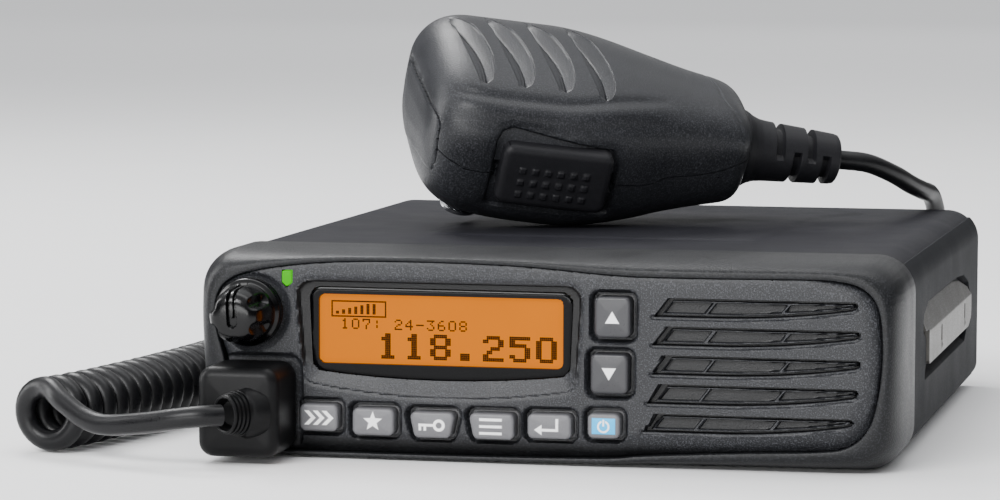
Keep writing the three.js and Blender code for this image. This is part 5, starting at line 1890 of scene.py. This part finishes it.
    def talk_recess(self, points: Array) -> Array:
        """Depth of the sunk seat around the talk button, on the side that it is on."""
        u, v, w = points[..., 0], points[..., 1], points[..., 2]
        seat = outline([(15.6, -9.8), (47.4, -9.8), (47.6, 5.0), (45.8, 8.4), (29.7, 10.3), (19.5, 11.6),
                        (16.6, 10.4), (15.6, 7.5)], 1.6)
        gap = seat(u, w)
        return (v < -8) * (2.6 * smooth(0.5, -1.5, gap) + 0.3 * smooth(2.4, 0.4, gap))

    def cap_line(self) -> Distance:
        """The signed distance to the end cap's outline, across v and w."""
        return curve_outline(resample(spline(self.cap, 12, closed=True), 160))

    def end_face(self, v: Array, w: Array) -> Array:
        """How far along the body its rounded top end lies at a point of v and w.

        Halving steps find where the section grows to hold the point.
        """
        low, high = np.zeros(v.shape), np.full(v.shape, 16.0)
        for _ in range(26):
            middle = (low + high) / 2
            side, front, back = self.sizes(middle)
            height = np.where(w > 0, front, back)
            outside = (np.abs(v) / side) ** 3 + (np.abs(w) / height) ** 3 > 1
            low, high = np.where(outside, middle, low), np.where(outside, high, middle)
        return (low + high) / 2

    def neck_groove(self, points: Array) -> Array:
        """Depth of the fine groove around the neck, which bows away from the cord over the grille side."""
        u, v, w = points[..., 0], points[..., 1], points[..., 2]
        line = 76.0 + 4.3 * smooth(2.5, 14.5, -v) - 1.6 * smooth(0.0, 12.0, v)
        return 0.22 * np.exp(-((u - line) / 0.35) ** 2) * smooth(4, 7, w)

    def shell(self, half: int, name: str, node: str, rows: int, columns: int) -> None:
        """Makes one shell, with its features pressed into the plain surface and an inner skin."""
        points = self.surface(half, rows, columns)
        normal = np.cross(np.gradient(points, axis=1), np.gradient(points, axis=0))
        normal /= np.maximum(np.linalg.norm(normal, axis=2, keepdims=True), 1e-9)
        outward = np.sign(np.sum(normal * (points - (self.length / 2, 0, 0)), axis=2, keepdims=True))
        normal *= np.where(outward == 0, 1, outward)
        u, v, w = points[..., 0], points[..., 1], points[..., 2]
        shift = np.zeros_like(points)
        if half > 0:
            shift[..., 2] -= self.slots(u, v) * (w > 8)
            shift -= normal * (self.grip_relief(points) + self.neck_groove(points))[..., None]
        else:
            for middle in ((60, -9), (60, 9), (12, 20), (12, -20)):
                reach = np.hypot(u - middle[0], v - middle[1])
                shift[..., 2] += 1.6 * smooth(2.6, 2.2, reach) * (w < -8)
            shift[..., 2] += 0.6 * smooth(8.4, 7.8, np.hypot(u - self.hanger, v)) * (w < -8)
        shift[..., 1] += self.talk_recess(points)
        shift[..., 0] += 0.9 * smooth(0.35, 0.05, self.cap_line()(v, w)) * (u < 12)
        knots = spline(self.seam_line, 10)
        bend = np.interp(u, knots[:, 0], knots[:, 1]) * np.exp(-(w / 9) ** 2)
        shift[..., 2] += bend
        picked = np.linspace(columns - 1, 0, 30).round().astype(int)
        inner = (points - normal * self.wall)[:, picked]
        inner[..., 0] = np.clip(inner[..., 0], self.wall, self.length - self.wall)
        inner[..., 2] = half * np.maximum(half * inner[..., 2], self.seam) + bend[:, picked]
        inner[:, [0, -1]] = (points + shift)[:, [-1, 0]]
        inner[:, [0, -1], 1] -= np.sign(inner[:, [0, -1], 1]) * self.wall
        shell = Shell()
        shell.grid(np.concatenate([points + shift, inner], axis=1), wrap_columns=True)
        fit(shell.piece(name, Finish.HAND, self.frame()), "handset", "hand_plastic", node)

    def end_cap(self) -> None:
        """Makes the cap that fills the outline in the top end."""
        line = self.cap_line()
        across, up = np.arange(-28.6, 18.2, 0.4), np.arange(-10.6, 12.0, 0.4)

        def face(a: Array, b: Array) -> Array:
            """The cap's outer face, just under the shells' own surface."""
            edge = np.clip(1 + line(a, b) / 0.5, 0, 1)
            return self.end_face(a, b) - 0.05 + 0.25 * edge ** 2 - 0.3 * smooth(0, -6, line(a, b))

        Wall(across, up, line, face, lambda a, b: self.end_face(a, b) + 0.8, axes=SIDE).make(
            "mic_end_plate", Finish.HAND, "handset", "hand_plastic", "mic_end_cap", place=self.frame())

    def talk_button(self) -> None:
        """Makes the talk button, with three rows of six pips on its domed face."""
        left, right, half = self.talk
        pad = outline(box_corners(left, right, -half, half), 2.4)
        across, up = np.arange(left - 0.3, right + 0.4, 0.3), np.arange(-half - 0.3, half + 0.4, 0.3)

        def face(a: Array, b: Array) -> Array:
            """The button's face."""
            gap = pad(a, b)
            edge = np.clip(1 + gap / 2.0, 0, 1)
            dome = ((a - 31.4) / 20) ** 2 * 0.5 + (b / 12) ** 2 * 0.5
            high = self.talk_face + dome + 1.5 * (1 - np.sqrt(1 - edge ** 2.2))
            pips = np.zeros(a.shape)
            for row in range(3):
                for k in range(6):
                    place = (22.9 + 3.2 * k, 1.9 - 3.2 * row + 0.03 * k)
                    pip = np.maximum(np.abs(a - place[0]) - 0.62, np.abs(b - place[1]) - 0.62)
                    pips = np.maximum(pips, smooth(0.3, -0.1, pip))
            return high - 0.42 * pips

        Wall(across, up, pad, face, -23.4).make(
            "talk_button_pad", Finish.RUBBER, "talk_button", "grip_rubber", "talk_button", place=self.frame())

    def relief_boot(self) -> None:
        """Makes the strain relief: a flared foot and a tapered stem with four half-ring grooves."""
        knots = np.array([(0, 82.6), (8.6, 82.6), (9.9, 84.4), (9.7, 85.2), (8.7, 86.8), (8.0, 88.6),
                          (7.7, 90.6), (7.55, 92.5), (7.2, 98), (6.8, 104), (6.45, 108.6), (6.2, 109.6),
                          (5.6, 110),
                          (3.4, 110), (2.9, 109.4), (2.75, 107), (0, 107)], float)
        line = resample(knots, 190, closed=False)
        line[0, 0] = line[-1, 0] = 0
        points = lathe(line.tolist(), 72)
        radius = np.hypot(points[..., 0], points[..., 1])
        angle = np.arctan2(points[..., 1], points[..., 0])
        height = points[..., 2]
        depth = np.zeros(radius.shape)
        for k, place in enumerate((93.6, 98.2, 101.9, 106.0)):
            facing = math.radians(70) if k % 2 == 0 else math.radians(-110)
            gap = np.abs(np.mod(angle - facing + math.pi, 2 * math.pi) - math.pi)
            groove = smooth(1.15, 0.8, np.abs(height - place)) * smooth(1.75, 1.55, gap)
            depth = np.maximum(depth, groove)
        outside = radius > 4.5
        scale = 1 - np.where(outside, depth * 1.7 / np.maximum(radius, 1e-6), 0)
        flat = np.stack([height, points[..., 0] * scale, points[..., 1] * scale], axis=2)
        solid(flat, "strain_relief_boot", Finish.RUBBER, "handset", "grip_rubber", "mic_strain_relief",
              place=self.frame())

    def stud(self) -> None:
        """Makes the bright hanger stud on the back."""
        low = -self.back - 6.1
        knots = [(0, low), (3.6, low), (4.5, low + 0.25), (4.95, low + 0.8), (4.95, low + 1.4),
                 (4.5, low + 1.9), (3.2, low + 2.3), (3.0, low + 3), (3.0, low + 4.6), (3.6, low + 5.2),
                 (6.4, low + 5.4),
                 (6.6, low + 5.6), (6.6, low + 6.0), (0, low + 6.0)]
        points = lathe(knots, 56)
        solid(points + (self.hanger, 0, 0), "hanger_button", Finish.BRIGHT, "handset", "bright_stud",
              "hanger_stud", place=self.frame())

    def build(self) -> None:
        """Makes every visible piece of the microphone."""
        self.shell(1, "mic_grille_shell", "mic_front_shell", 270, 168)
        self.shell(-1, "mic_rear_shell", "mic_back_shell", 130, 110)
        self.end_cap()
        self.talk_button()
        self.relief_boot()
        self.stud()


# ---- inner pieces

CARRIED = {
    Finish.BOARD: ("display_board", "main_board", "mic_board"),
    Finish.MAT: ("key_mat",),
    Finish.STEEL: ("volume_shaft", "volume_pot", "shield_can", "mic_element"),
    Finish.CONE: ("front_speaker", "mic_speaker"),
    Finish.FOAM: ("speaker_gasket",),
    Finish.SOCKET: ("mic_jack", "power_module", "talk_switch"),
    Finish.SCREW: tuple(f"cover_screw_{number}" for number in range(1, 5)),
    Finish.PLUG: ("mic_plug",),
}


def dress_carried() -> None:
    """Gives each CAD node that stays its finish."""
    for finish, nodes in CARRIED.items():
        for name in nodes:
            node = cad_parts[name]
            if node.data.materials:
                for slot in node.material_slots:
                    slot.material = finish.material()
            else:
                node.data.materials.append(finish.material())


def main() -> None:
    """Builds the camera and the cord first, then every sub-assembly, and reports each piece."""
    logging.basicConfig(level=logging.INFO, format="%(name)s %(message)s")
    studio = Studio()
    studio.camera()
    Cord().build(Boot().build())
    Bezel().build()
    Display().build()
    Keypad().build()
    Knob().build()
    status_light()
    Case().build()
    CatchPlate().build()
    Sockets().build()
    Handset().build()
    dress_carried()
    studio.floor()
    studio.light()


if __name__ == "__main__":
    main()
